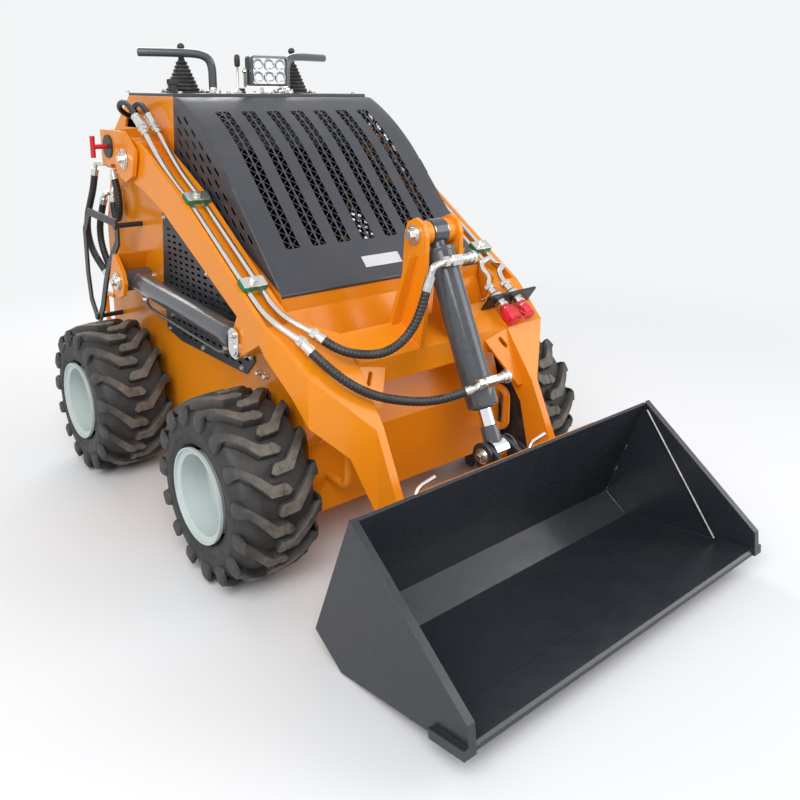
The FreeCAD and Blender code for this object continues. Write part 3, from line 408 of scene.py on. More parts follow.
def shade(mesh, angle):
    """Smooth faces, with sharp edges where they meet at more than an angle in degrees."""
    mesh.polygons.foreach_set("use_smooth", [True] * len(mesh.polygons))
    mesh.set_sharp_from_angle(angle=math.radians(angle))


def make_piece(name, form, body, slot, material, smooth=35.0, bevel=0.0, merge=True, instead_of=None):
    mesh = bpy.data.meshes.new(name)
    mesh.from_pydata([at(*c) for c in form.corners], [], form.faces)
    if any(form.tints):
        mesh.attributes.new("tint", "FLOAT", "POINT").data.foreach_set("value", form.tints)
    work = bmesh.new()
    work.from_mesh(mesh)
    if merge:
        bmesh.ops.remove_doubles(work, verts=work.verts, dist=MERGE_DIST)
    bmesh.ops.recalc_face_normals(work, faces=work.faces)
    work.to_mesh(mesh)
    work.free()
    mesh.materials.append(material)
    shade(mesh, smooth)
    piece = put(name, mesh)
    if bevel:
        edge = piece.modifiers.new("edge", "BEVEL")
        edge.width, edge.segments = bevel * MM, 2
        edge.limit_method, edge.angle_limit = "ANGLE", math.radians(32.0)
        edge.harden_normals = True
    if body:
        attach(piece, body)
    if instead_of:
        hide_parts(instead_of)
    return piece


def zinc_piece(name, form, body="chassis", **more):
    return make_piece(name, form, body, "zinc_steel", zinc, **more)


def fold_sheet(piece, fold=0.0):
    """Give a piece's faces the thickness of sheet steel, with rounded folds and crisp cut edges."""
    if fold:
        edge = piece.modifiers.new("fold", "BEVEL")
        edge.width, edge.segments = fold * MM, 3
        edge.limit_method, edge.angle_limit = "ANGLE", math.radians(60.0)
    thick = piece.modifiers.new("sheet", "SOLIDIFY")
    thick.thickness, thick.offset = 2.0 * MM, -1.0
    graph = bpy.context.evaluated_depsgraph_get()
    mesh = bpy.data.meshes.new_from_object(piece.evaluated_get(graph))
    piece.modifiers.clear()
    piece.data = mesh
    shade(mesh, 30.0)


# Materials

DUST, STEEL_CHIPS = (0.32, 0.29, 0.25), (0.30, 0.29, 0.28)


def scaled(colour, share):
    return tuple(c * share for c in colour)


def painted(name, colour, gloss, coat=0.0, dust=0.25, chips=STEEL_CHIPS, chip_share=0.35, peel=0.05, metallic=0.0,
            deep=0.82, vary=0.13, shade_mask=None, specular=0.5):
    """Paint over steel: uneven depth, orange peel, dust on what faces up and worn edges; a shade mask, if given, paints
    shade near black.
    """
    look = Look(name)
    base = look.blend(look.grain((4.0, 4.0), 0.35, 0.7), colour, scaled(colour, deep))
    near, rounded = look.edges(0.0016)
    worn = look.maths("MULTIPLY", near, look.grain((95.0, 5.0, 0.7), 0.56, 0.66, 0.0, chip_share))
    base = look.blend(worn, base, chips)
    base, dusty = look.dusty(base, DUST, 0.35, (9.0, 6.0, 0.65), 0.4, 0.75, dust)
    # Painted shade: faces in the given mask turn near black, standing in for the shade inside the body.
    if shade_mask:
        base = look.blend(shade_mask(look), base, (0.012, 0.012, 0.012))
    rough = look.maths("ADD", look.grain((26.0, 5.0, 0.6), 0.3, 0.75, gloss, gloss + vary),
                       look.maths("MULTIPLY", dusty, 0.5))
    return look.finish(base, rough, look.noise(420.0, 2.0), peel, 0.0012, rounded, Coat_Weight=coat,
                       Coat_Roughness=0.12, Specular_IOR_Level=specular, Metallic=metallic)


def bare_metal(name, colour, gloss, grain=0.2, metallic=1.0, edge=0.0007, deep=0.6):
    look = Look(name)
    base = look.blend(look.grain((60.0, 5.0, 0.65), 0.35, 0.75), colour, scaled(colour, deep))
    return look.finish(base, look.grain((140.0, 4.0, 0.6), 0.3, 0.7, gloss, gloss + grain), look.noise(900.0, 2.0),
                       0.05, 0.0004, look.edges(edge)[1] if edge else None, Metallic=metallic)


def moulded(name, colour, gloss, grain=700.0, depth=0.25, dust=0.2):
    look = Look(name)
    base = look.blend(look.grain((18.0, 4.0), 0.35, 0.7), colour, scaled(colour, 1.5))
    base, _ = look.dusty(base, (0.30, 0.28, 0.25), 0.2, (30.0, 5.0, 0.65), 0.42, 0.7, dust)
    return look.finish(base, look.grain((45.0, 4.0), 0.3, 0.7, gloss, gloss + 0.15), look.noise(grain, 2.0), depth,
                       0.0008, look.edges(0.0009)[1])


def tyre_look():
    """Moulded rubber whose lug tops are scuffed brown-grey from the ground."""
    look = Look("tyre_rubber")
    tint = look.node("ShaderNodeAttribute", attribute_name="tint").outputs["Fac"]
    worn = look.maths("MULTIPLY", tint, look.grain((38.0, 6.0, 0.68), 0.3, 0.62, 0.25, 1.0))
    base = look.blend(look.grain((22.0, 5.0), 0.3, 0.7), (0.016, 0.016, 0.017), (0.034, 0.033, 0.033))
    base = look.blend(worn, base, (0.165, 0.145, 0.120))
    base = look.blend(look.grain((210.0, 3.0, 0.6), 0.63, 0.72, 0.0, 0.25), base, (0.20, 0.19, 0.17))
    return look.finish(base, look.grain((33.0, 4.0), 0.3, 0.7, 0.52, 0.72), look.noise(330.0, 5.0, 0.6), 0.35, 0.0012)


def bucket_look():
    """Thick dark paint over plate: long faint scrapes, thin dust and bare spots on edges."""
    look = Look("bucket_paint")
    base = look.blend(look.grain((3.0, 5.0, 0.6), 0.35, 0.7), (0.024, 0.027, 0.034), (0.019, 0.021, 0.027))
    near, rounded = look.edges(0.0016)
    base = look.blend(look.maths("MULTIPLY", near, look.grain((46.0, 6.0, 0.72), 0.54, 0.66, 0.0, 0.75)), base,
                      STEEL_CHIPS)
    scrape = look.grain((11.0, 8.0, 0.75, (0.35, 6.0, 3.0)), 0.68, 0.75, 0.0, 0.16)
    base = look.blend(scrape, base, (0.16, 0.16, 0.17))
    base, _ = look.dusty(base, (0.30, 0.28, 0.25), 0.1, (6.0, 8.0, 0.7), 0.45, 0.85, 0.06)
    return look.finish(base, look.grain((14.0, 6.0, 0.65), 0.3, 0.75, 0.20, 0.36), look.noise(260.0, 4.0, 0.6), 0.10,
                       0.0012, rounded)


def cast_look():
    look = Look("engine_iron")
    base = look.blend(look.grain((35.0, 5.0), 0.35, 0.7), (0.06, 0.06, 0.06), (0.11, 0.10, 0.095))
    return look.finish(base, look.grain((50.0, 4.0), 0.3, 0.7, 0.5, 0.7), look.noise(240.0, 4.0, 0.6), 0.5, 0.002,
                       look.edges(0.003)[1])


def wall_inside_shade(look):
    """A mask for painted shade on the body's own inside: what lies between the outer faces of the walls, above the
    floor.
    """
    across = look.maths("ABSOLUTE", look.part(look.place, "X"))
    return look.maths("MULTIPLY", look.maths("LESS_THAN", across, 0.3255),
                      look.maths("GREATER_THAN", look.part(look.place, "Z"), 0.160))


def panel_inside_shade(sign):
    """A mask for painted shade on a panel's inner faces: those whose normal has the given sign along Y."""
    return lambda look: look.maths(
        "GREATER_THAN", look.maths("MULTIPLY", look.part(look.normal(), "Y"), sign), 0.1)


def orange_paint(name, shade_mask=None):
    return painted(name, (0.84, 0.262, 0.008), 0.19, coat=0.08, specular=0.3, dust=0.04, chips=(0.42, 0.20, 0.10),
                   chip_share=0.2, deep=0.93, vary=0.06, peel=0.03, shade_mask=shade_mask)


GREY_PAINT, BRIGHT_ZINC, CAP_RED = (0.068, 0.075, 0.084), (0.66, 0.65, 0.60), (0.62, 0.012, 0.035)
orange = orange_paint("orange_paint")
# These orange copies paint shade near black on the inside of the body walls and of the front and rear panels.
wall_orange_shaded = orange_paint("wall_orange_shaded", wall_inside_shade)
front_orange_shaded = orange_paint("front_orange_shaded", panel_inside_shade(1.0))
rear_orange_shaded = orange_paint("rear_orange_shaded", panel_inside_shade(-1.0))
hood_grey = painted("hood_paint", (0.046, 0.048, 0.058), 0.27, dust=0.10, peel=0.09, chip_share=0.3)
panel_grey = painted("panel_paint", (0.036, 0.038, 0.044), 0.32, dust=0.15, peel=0.12, chip_share=0.25)
step_grey = painted("step_paint", (0.036, 0.038, 0.044), 0.42, dust=0.45, peel=0.12, chip_share=0.5)
axle_black = painted("axle_paint", (0.022, 0.022, 0.024), 0.34, dust=0.30)
barrel_grey = painted("cylinder_paint", GREY_PAINT, 0.13, coat=0.5, dust=0.06, peel=0.03)
rim_white = painted("rim_paint", (0.55, 0.62, 0.60), 0.26, dust=0.10, chips=(0.25, 0.2, 0.17), chip_share=0.3, deep=0.9)
bucket_dark = bucket_look()
chrome = bare_metal("chromed_rod", (0.86, 0.87, 0.88), 0.05, 0.05, deep=0.92)
zinc = bare_metal("zinc_steel", (0.72, 0.71, 0.67), 0.22, 0.06, deep=0.93)
pipe_steel = bare_metal("pipe_steel", (0.78, 0.77, 0.73), 0.17, 0.06, deep=0.92, edge=0.0)
hub_steel = bare_metal("hub_steel", (0.30, 0.30, 0.30), 0.34, 0.2)
weld_metal = bare_metal("weld_metal", (0.62, 0.62, 0.60), 0.3, 0.25, metallic=0.6)
iron = cast_look()
black_plastic = moulded("black_plastic", (0.018, 0.018, 0.019), 0.42)
boot_rubber = moulded("boot_rubber", (0.012, 0.012, 0.013), 0.5, grain=300.0, depth=0.2, dust=0.35)
hose_black = moulded("hose_rubber", (0.011, 0.011, 0.012), 0.36, grain=500.0, depth=0.15, dust=0.25)
red_plastic = moulded("red_plastic", CAP_RED, 0.28, grain=380.0, depth=0.08, dust=0.08)
green_plastic = moulded("green_plastic", (0.0, 0.135, 0.062), 0.36, grain=380.0, depth=0.1, dust=0.08)
tyre_rubber = tyre_look()
plate_white = painted("plate_white", (0.70, 0.71, 0.72), 0.3, dust=0.05, chip_share=0.1, metallic=0.4)


# Hoses: the control points of each route

TILT_LOWER = [(-361, -187, 588), (-346.4, -226, 559.9), (-312, -258, 523), (-262, -283, 491), (-206, -308, 473),
              (-152, -338, 466), (-108, -366, 473), (-72, -386, 486)]
TILT_UPPER = [(-322, -180, 607), (-307.6, -216, 590.2), (-262, -240, 577), (-214, -256, 574), (-166, -262, 590),
              (-130, -265, 622), (-108, -268, 664), (-95, -270, 706)]
BOOM_OUTER = [(-402, 611, 1087), (-402, 648, 1115), (-401, 690, 1126), (-396, 732, 1121), (-384, 770, 1107),
              (-360, 800, 1091), (-328, 816, 1078), (-292, 822, 1072), (-260, 824, 1070)]
BOOM_INNER = [(-366, 606, 1089), (-366, 642, 1116.3), (-364, 680, 1122), (-360, 716, 1112), (-350, 750, 1096),
              (-328, 776, 1081), (-298, 792, 1073), (-265, 800, 1070)]
REAR_1 = [(-386, 1006, 893), (-387, 1024, 848), (-388, 1058, 800), (-388, 1098, 745), (-388, 1108, 690),
          (-388, 1082, 640), (-388, 1030, 606), (-386, 976, 578)]
REAR_2 = [(-366, 1004, 800), (-365, 1032, 762), (-364, 1060, 712), (-363, 1058, 654), (-362, 1018, 600),
          (-361, 972, 556)]
REAR_3 = [(-360, 905, 880), (-362, 884, 848), (-363, 876, 812), (-362, 883, 778), (-360, 905, 756),
          (-357, 932, 762), (-355.5, 943, 784), (-355, 945, 808)]
GUARD_PITCH, GUARD_GROOVE = 9.5, 1.5


def make_hose(node, points, radius, across=None):
    """A hydraulic hose in its spiral guard. Across lists the bodies it joins and where its bend starts and ends, but
    only whether it is given is used: such a hose is put on no body and does not bend.
    """
    line, run = smooth_line(points, 1.6)

    def size(at_run, angle):
        phase = (at_run / GUARD_PITCH - angle / TURN) % 1.0
        groove = max(0.0, 1.0 - abs(phase - 0.5) / 0.16)
        return radius - GUARD_GROOVE * min(1.0, groove * 1.4)

    form = Form()
    sweep(form, line, size, 16)
    hose = make_piece(node + "_guard", form, None if across else "chassis", "hose_rubber", hose_black, smooth=50.0,
                      merge=False)
    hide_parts(node)
    if across:
        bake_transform(hose)


def make_hoses():
    make_hose("tilt_hose_lower", TILT_LOWER, 11.0, ("boom", "tilt_barrel", (-330, -240, 540), (-95, -372, 478)))
    make_hose("tilt_hose_upper", TILT_UPPER, 11.0, ("boom", "tilt_barrel", (-300, -225, 588), (-110, -268, 650)))
    for side_name, side in reversed(SIDES):
        for label, route in (("outer", BOOM_OUTER), ("inner", BOOM_INNER)):
            points = [(-side * x, y, z) for x, y, z in route]
            ends = [(points[0][0], y, 1100) for y in (640, 800)]
            make_hose("boom_hose_%s_%s" % (side_name, label), points, 8.0, ("boom", "chassis", *ends))
    for index, (route, length) in enumerate(((REAR_1, 406.5), (REAR_2, 290.4), (REAR_3, 212.2))):
        make_hose("rear_hose_%d" % (index + 1), route, 11.0)


# Tyres: sections of a lug over the tread, then down the side

TYRE_R, TYRE_X, LUGS = 230.0, 464.0, 15
# Each row: distance outwards and arc of the lug's front edge, then of its back edge.
TREAD = [(-13.0, 16.0, -6.0, -13.0), (-1.0, 15.4, 0.6, -13.2), (0.2, 15.3, 1.4, -13.2), (12.0, 14.6, 10.0, -13.6),
         (24.0, 13.8, 17.0, -13.9), (34.0, 13.0, 24.0, -15.0), (43.0, 1.5, 36.0, -26.0), (52.0, -10.0, 46.0, -36.0),
         (64.0, -23.5, 58.0, -48.0), (77.0, -38.0, 74.0, -63.0), (90.0, -52.0, 89.0, -77.0)]
# Each row: distance outwards, radius, arc of the front and back edges, and how deep the root lies.
SIDE_LUG = [(101.0, 217.0, -54.0, -82.0, 96.0), (106.5, 206.0, -54.0, -88.0, 97.5),
            (107.6, 192.0, -50.0, -92.0, 99.0), (107.8, 180.0, -50.0, -93.0, 99.5),
            (107.2, 172.0, -56.0, -86.0, 100.0)]
# The tyre's own section as distance outwards and radius.
CARCASS = [(0, 207.5), (30, 207.5), (58, 206.5), (74, 204.5), (86, 200.5), (94, 194), (98.5, 186), (100.5, 176),
           (101.6, 170), (102.4, 169), (103.0, 166), (103.2, 156), (103.0, 147), (102.2, 145.5), (101.2, 144.5),
           (100.0, 136), (97.6, 130), (98.6, 128.5), (98.2, 126.5), (95.5, 124.0), (92.0, 119.0), (89.0, 117.2),
           (84.0, 113.0)]


def crown(u):
    """Radius of the lug tops across the tyre."""
    return TYRE_R - 0.0006 * u * u - max(0.0, u - 62.0) ** 2 * 0.0075


def lug_sections():
    """Rings of (distance outwards, radius, arc) of one bent lug, and how worn each point is."""
    sections, tints = [], []
    lean, chamfer, root = 3.2, 1.8, 203.0
    for index, (ub, sb, ut, st) in enumerate(TREAD):
        drop = 2.6 if index == 2 else 0.0
        top_b, top_t = crown(abs(ub)) - drop, crown(abs(ut)) - drop
        fade = 1.0 if ub < 50 else max(0.2, 1.0 - (ub - 50) / 45.0)
        sections.append([
            (ub, root, sb + lean), (ub, top_b - chamfer, sb), (ub, top_b, sb - chamfer),
            ((ub + ut) / 2.0, (top_b + top_t) / 2.0 + 0.4, (sb + st) / 2.0),
            (ut, top_t, st + chamfer), (ut, top_t - chamfer, st), (ut, root, st - lean),
        ])
        tints.append([0.0, 0.35, fade, fade, fade, 0.35, 0.0])
    for u, radius, sb, st, deep in SIDE_LUG:
        sections.append([
            (deep, radius - 2.0, sb + 3.0), (u - 1.6, radius, sb + 0.8), (u, radius, sb - 1.6),
            (u + 0.2, radius, (sb + st) / 2.0),
            (u, radius, st + 1.6), (u - 1.6, radius, st - 0.8), (deep, radius - 2.0, st - 3.0),
        ])
        tints.append([0.0, 0.1, 0.22, 0.22, 0.22, 0.1, 0.0])
    nose = []
    for k, (u, radius, arc) in enumerate(sections[0]):
        top = 0 < k < 6
        nose.append((u - (8.0 if top else 3.0), radius - (0.6 if top else 0.0), arc * 0.45 + 0.2))
    foot_arc = sum(p[2] for p in sections[-1]) / 7
    foot = [(101.0, 166.5, arc * 0.55 + foot_arc * 0.45) for u, radius, arc in sections[-1]]
    return [nose] + sections + [foot], [tints[0]] + tints + [[0.0] * 7]


def tyre_point(centre, u, radius, angle):
    return (centre[0] + u, centre[1] - radius * math.sin(angle), centre[2] + radius * math.cos(angle))


def make_tyre(where, x_side, y):
    form = Form()
    centre = (x_side * TYRE_X, y, TYRE_R)
    rings = [(-u, r) for u, r in CARCASS[:0:-1]] + CARCASS
    count = 72
    corners = [tyre_point(centre, u, r, TURN * k / count) for k in range(count) for u, r in rings]
    form.add(corners, tube_faces(count, len(rings), caps=False, looped=True),
             [0.12 if r > 200 else 0.0 for k in range(count) for u, r in rings])
    sections, tints = lug_sections()
    last = 7 * (len(sections) - 1)
    lug_faces = tube_faces(len(sections), 7, caps=False) + [tuple(range(7)), tuple(range(last, last + 7))[::-1]]
    for side, offset in ((x_side, 0.0), (-x_side, 0.5)):
        for row in range(LUGS):
            start = (row + offset) * (TURN / LUGS)
            corners = [tyre_point(centre, side * u, r, arc / TYRE_R + start) for ring in sections for u, r, arc in ring]
            form.add(corners, lug_faces, [tint for ring in tints for tint in ring])
    make_piece("tread_" + where, form, "wheel_" + where, "tyre_rubber", tyre_rubber, smooth=38.0, merge=False,
               instead_of="tyre_" + where)


def make_valve(where, x_side, y):
    form = Form()
    a, radius = 1.9, 90
    base = Vector((x_side * (TYRE_X + 34), y + radius * math.cos(a), TYRE_R + radius * math.sin(a)))
    lathe(form, base, (x_side, 0.15 * math.cos(a), 0.15 * math.sin(a)),
          [(0, 6), (10, 5.4), (14, 3.6), (30, 3.6), (30.5, 5.0), (39, 5.0), (40, 4.0)], 12)
    make_piece("valve_" + where, form, "wheel_" + where, "hub_steel", black_plastic)


# Hood: its side profile as (y, z) points

LIP, KNEE, MID, TOP, BACK = (-15.0, 683.0), (250.0, 971.0), (357.0, 1065.0), (482.0, 1138.0), (515.0, 1142.0)
FOOT, STEP = (528.0, 989.0), (415.0, 903.0)
HOOD_HALF = 333.0
BANDS, BAND_PITCH, BAND_HALF, BAND_RAIL = 7, 80.0, 21.5, 1.5
CELLS, FIRST_CELL, LAST_CELL = 17, 123.0, 604.0
GRILLE_X = 337.0


def circle_through(a, b, c):
    d = 2.0 * (a[0] * (b[1] - c[1]) + b[0] * (c[1] - a[1]) + c[0] * (a[1] - b[1]))
    sa, sb, sc = [p[0] ** 2 + p[1] ** 2 for p in (a, b, c)]
    y = (sa * (b[1] - c[1]) + sb * (c[1] - a[1]) + sc * (a[1] - b[1])) / d
    z = (sa * (c[0] - b[0]) + sb * (a[0] - c[0]) + sc * (b[0] - a[0])) / d
    return (y, z), math.hypot(a[0] - y, a[1] - z)


HOOD_CENTRE, HOOD_R = circle_through(KNEE, MID, TOP)
STRAIGHT, FLAT = math.dist(LIP, KNEE), math.dist(TOP, BACK)
ARC_START, ARC_END = [math.atan2(p[1] - HOOD_CENTRE[1], p[0] - HOOD_CENTRE[0]) for p in (KNEE, TOP)]
ARC = HOOD_R * abs(ARC_END - ARC_START)


def between(a, b, share):
    return (a[0] + (b[0] - a[0]) * share, a[1] + (b[1] - a[1]) * share)


def hood_skin(run):
    """The (y, z) point of the hood's front skin at a run from its lip."""
    if run <= STRAIGHT:
        return between(LIP, KNEE, run / STRAIGHT)
    if run <= STRAIGHT + ARC:
        angle = ARC_START + (ARC_END - ARC_START) * (run - STRAIGHT) / ARC
        return (HOOD_CENTRE[0] + HOOD_R * math.cos(angle), HOOD_CENTRE[1] + HOOD_R * math.sin(angle))
    return between(TOP, BACK, min(1.0, (run - STRAIGHT - ARC) / FLAT))


def slot_ring(y, z, length, width, slant, count):
    """A rounded slot's outline; slant is its angle from +Y."""
    ring = []
    for end in (0, 1):
        middle = (length - width) / 2.0 * (1 - 2 * end)
        for k in range(count):
            a = -math.pi / 2.0 + math.pi * k / (count - 1) + end * math.pi
            p, q = middle + width / 2.0 * math.cos(a), width / 2.0 * math.sin(a)
            ring.append((y + p * math.cos(slant) - q * math.sin(slant), z + p * math.sin(slant) + q * math.cos(slant)))
    return ring


def inside(point, outline):
    y, z = point
    hit = False
    for (y0, z0), (y1, z1) in zip(outline, outline[1:] + outline[:1]):
        if (z0 > z) != (z1 > z) and y < y0 + (y1 - y0) * (z - z0) / (z1 - z0):
            hit = not hit
    return hit


def edge_gap(point, line):
    """How far a point lies from a line of points."""
    best = 1e9
    for a, b in zip(line, line[1:]):
        ay, az = point[0] - a[0], point[1] - a[1]
        by, bz = b[0] - a[0], b[1] - a[1]
        share = max(0.0, min(1.0, (ay * by + az * bz) / (by * by + bz * bz)))
        best = min(best, math.hypot(ay - by * share, az - bz * share))
    return best


def add_pierced_sides(form, half, outline, start, pitch, counts, fits, slot):
    """Both flat sides of a shape: an outline with a grid of slots left open where they fit."""
    rings = [outline]
    for row in range(counts[1]):
        for column in range(counts[0]):
            point = (start[0] + column * pitch[0], start[1] + row * pitch[1])
            if inside(point, outline) and fits(point):
                rings.append(slot_ring(*point, *slot))
    points, lines = [], []
    for ring in rings:
        first = len(points)
        points += [Vector(p) for p in ring]
        lines += [(first + k, first + (k + 1) % len(ring)) for k in range(len(ring))]
    places, _, faces, _, _, _ = delaunay_2d_cdt(points, lines, [], 0, 1e-6)
    kept = []
    for face in faces:
        middle = [sum(places[i][axis] for i in face) / len(face) for axis in (0, 1)]
        near = [ring for ring in rings[1:] if max(abs(middle[0] - ring[0][0]), abs(middle[1] - ring[0][1])) < 60]
        if inside(middle, outline) and not any(inside(middle, ring) for ring in near):
            kept.append(face)
    for x in (-half, half):
        form.add([(x, p.x, p.y) for p in places], kept)


def add_cell(form, near, reach, half, low, high, ends):
    """Half of one cell of a pierced band: its rails and two slanting bars that meet at the middle rail."""
    rail, rib, margin = 1.0, 1.35, 1.2
    middle = (low + high) / 2.0
    slant = rib * (reach - rail) / (middle - low)
    bottom, top = low + margin * ends[0], high - margin * ends[1]
    ring = [
        (0.0, low), (0.0, high), (reach, low), (reach, high),
        (rail, bottom), (rail + 0.3, middle - rib), (rail + 0.3, middle + rib), (rail, top),
        (reach - slant - (bottom - low), bottom), (reach - slant - (high - top), top),
        (reach - 0.5, low + rib), (reach - 0.5, high - rib), (rail + slant, middle),
    ]
    shapes = [(0, 4, 5, 6, 7, 1), (5, 8, 2, 10, 12), (6, 12, 11, 3, 9), (5, 12, 6), (2, 3, 11, 10)]
    shapes += [(0, 2, 8, 4)] * ends[0] + [(1, 7, 9, 3)] * ends[1]
    form.add([(near + half * u, *hood_skin(run)) for u, run in ring], shapes)


def make_hood():
    """Folded sheet hood: seven pierced bands over the front, slots in its sides, a rolled lip."""
    rows = [FIRST_CELL + (LAST_CELL - FIRST_CELL) / CELLS * k for k in range(CELLS + 1)]
    before = [0.0, 22.0, 50.0, 80.0]
    end = STRAIGHT + ARC
    runs = before + rows + [LAST_CELL + (end - LAST_CELL) * k / 3.0 for k in (1, 2, 3)] + [end + FLAT]
    lines, starts = [-HOOD_HALF, -302.0], []
    for band in range(BANDS):
        x = (band - (BANDS - 1) / 2) * BAND_PITCH
        starts.append(len(lines))
        lines += [x - BAND_HALF, x - BAND_RAIL, x + BAND_RAIL, x + BAND_HALF]
    lines += [302.0, HOOD_HALF]
    width = len(lines)
    cell_rows = range(len(before), len(before) + CELLS)
    open_columns = [start + shift for start in starts for shift in (0, 2)]
    form = Form()
    form.add([(x, *hood_skin(run)) for run in runs for x in lines],
             [(r * width + c, r * width + c + 1, (r + 1) * width + c + 1, (r + 1) * width + c)
              for r in range(len(runs) - 1) for c in range(width - 1) if c not in open_columns or r not in cell_rows])
    for start in starts:
        for half, near in ((-1, lines[start + 1]), (1, lines[start + 2])):
            for k, (low, high) in enumerate(zip(rows, rows[1:])):
                add_cell(form, near, BAND_HALF - BAND_RAIL, half, low, high, (k == 0, k == CELLS - 1))
    front = [hood_skin(run) for run in runs]
    rest = [front[-1], FOOT, STEP, front[0]]
    add_pierced_sides(form, HOOD_HALF, front + [FOOT, STEP], (83.0, 736.7), (40.0, 31.08), (12, 13),
                      lambda p: edge_gap(p, front) >= (22.0 if p[1] < 840.0 else 32.0) and edge_gap(p, rest) >= 13.0,
                      (31.0, 9.6, math.radians(40.5), 5))
    form.add([(x, *p) for p in (BACK, FOOT) for x in (-HOOD_HALF, HOOD_HALF)], [(0, 1, 3, 2)])
    hood = make_piece("hood_sheet", form, "chassis", "dark_paint", hood_grey, smooth=30.0)
    fold_sheet(hood, 3.5)
    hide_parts("hood")
    lip, plate, rivets = forms(3)
    line = [Vector((x, LIP[0] + 2.0, LIP[1] - 3.0)) for x in (1 - HOOD_HALF, -200, 0, 200, HOOD_HALF - 1)]
    sweep(lip, line, 6.0, 16)
    make_piece("hood_lip", lip, "chassis", "dark_paint", hood_grey)
    make_grilles()
    along = Vector((0, KNEE[0] - LIP[0], KNEE[1] - LIP[1])).normalized()
    up = Vector((0, -along.z, along.y))
    middle = Vector((7.0, *hood_skin(54.6)))
    prism(plate, [middle + Vector((sx * 62.0, 0, 0)) + along * (sy * 17.0) + up * 0.4
                  for sx, sy in ((-1, -1), (1, -1), (1, 1), (-1, 1))], up * 1.2)
    for sx in (-56.0, 56.0):
        for sy in (-12.0, 12.0):
            round_head(rivets, middle + Vector((sx, 0, 0)) + along * sy + up * 1.4, up, 2.4, 1.4)
    make_piece("blank_plate", plate, "chassis", "dark_paint", plate_white, bevel=0.5)
    make_piece("plate_rivets", rivets, "chassis", "dark_paint", zinc)


def make_grilles():
    """Slotted panels over the side openings, with their screws."""
    form, screws = forms(2)
    outline = [(618, 812), (640, 590), (632, 455), (540, 437), (160, 437), (115, 482), (128, 560)]
    add_pierced_sides(form, GRILLE_X, outline, (586.5, 783.8), (-36.0, -17.9), (14, 20),
                      lambda p: edge_gap(p, outline + outline[:1]) > 18.0, (22.0, 7.4, 0.0, 4))
    grilles = make_piece("grille_sheets", form, "chassis", "dark_paint", panel_grey, smooth=30.0)
    for polygon in grilles.data.polygons:
        if (polygon.normal.x > 0) != (polygon.center.x > 0):
            polygon.flip()
    fold_sheet(grilles)
    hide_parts("side_grilles")
    for side in (-1, 1):
        for y, z in ((607, 797), (353, 672), (585, 508), (614, 459), (400, 450), (180, 450), (130, 492)):
            hex_head(screws, (side * GRILLE_X, y, z), (side, 0, 0), 10.0, 5.0)
    zinc_piece("grille_screws", screws)


# Fittings on the arms: the slopes of an arm's top edge

UPPER_TOP, UPPER_LOW = (323, 899), (-4, 684)
LOWER_TOP, LOWER_END = (-110, 618), (-213, 543)
# Each pipe's distance from the middle, its rear end and its next bend as (y, z).
PIPES = ((402, (611, 1087), (553, 1043)), (366, (606, 1089), (548, 1045)))
CAP_RUN, CAP_LIFT = 91.4, 27.0
COUPLER_X = (262.0, 328.0)


def slope(a, b):
    """Direction down along a slope of the arm's top and the direction away from it, as vectors."""
    along = Vector((0, b[0] - a[0], b[1] - a[1])).normalized()
    return along, Vector((0, along.z, -along.y))


UPPER_ALONG, UPPER_UP = slope(UPPER_TOP, UPPER_LOW)
LOWER_ALONG, LOWER_UP = slope(LOWER_TOP, LOWER_END)


def upper_point(x, y, run, lift):
    """A point over the arm's upper top edge, beside the given y."""
    rise = (UPPER_TOP[1] - UPPER_LOW[1]) / (UPPER_TOP[0] - UPPER_LOW[0])
    return Vector((x, y, UPPER_LOW[1] + (y - UPPER_LOW[0]) * rise)) + UPPER_ALONG * run + UPPER_UP * lift


def lower_point(x, run, lift=CAP_LIFT):
    return Vector((x, *LOWER_TOP)) + LOWER_ALONG * run + LOWER_UP * lift


def make_clamps():
    for name, side in SIDES:
        blocks, covers, bolts = forms(3)
        x = side * ARM_X
        for y in (300.0, 30.0):
            for form, half_x, half_run, corner, lift, height in (
                    (blocks, 33.0, 17.0, 2.0, 0.3, 6.0), (blocks, 33.0, 17.0, 2.0, 6.7, 6.3),
                    (covers, 31.5, 16.5, 4.0, 13.0, 3.2)):
                ring = [upper_point(x + p, y, q, lift) for p, q in rounded_ring(half_x, half_run, corner)]
                prism(form, ring, UPPER_UP * height)
            hex_head(bolts, upper_point(x, y, 0, 16.2), UPPER_UP, 17.0, 7.0)
        make_piece("clamp_blocks_" + name, blocks, "boom", "isolator_plastic", green_plastic, bevel=0.8)
        zinc_piece("clamp_covers_" + name, covers, "boom", bevel=0.7)
        zinc_piece("clamp_bolts_" + name, bolts, "boom")


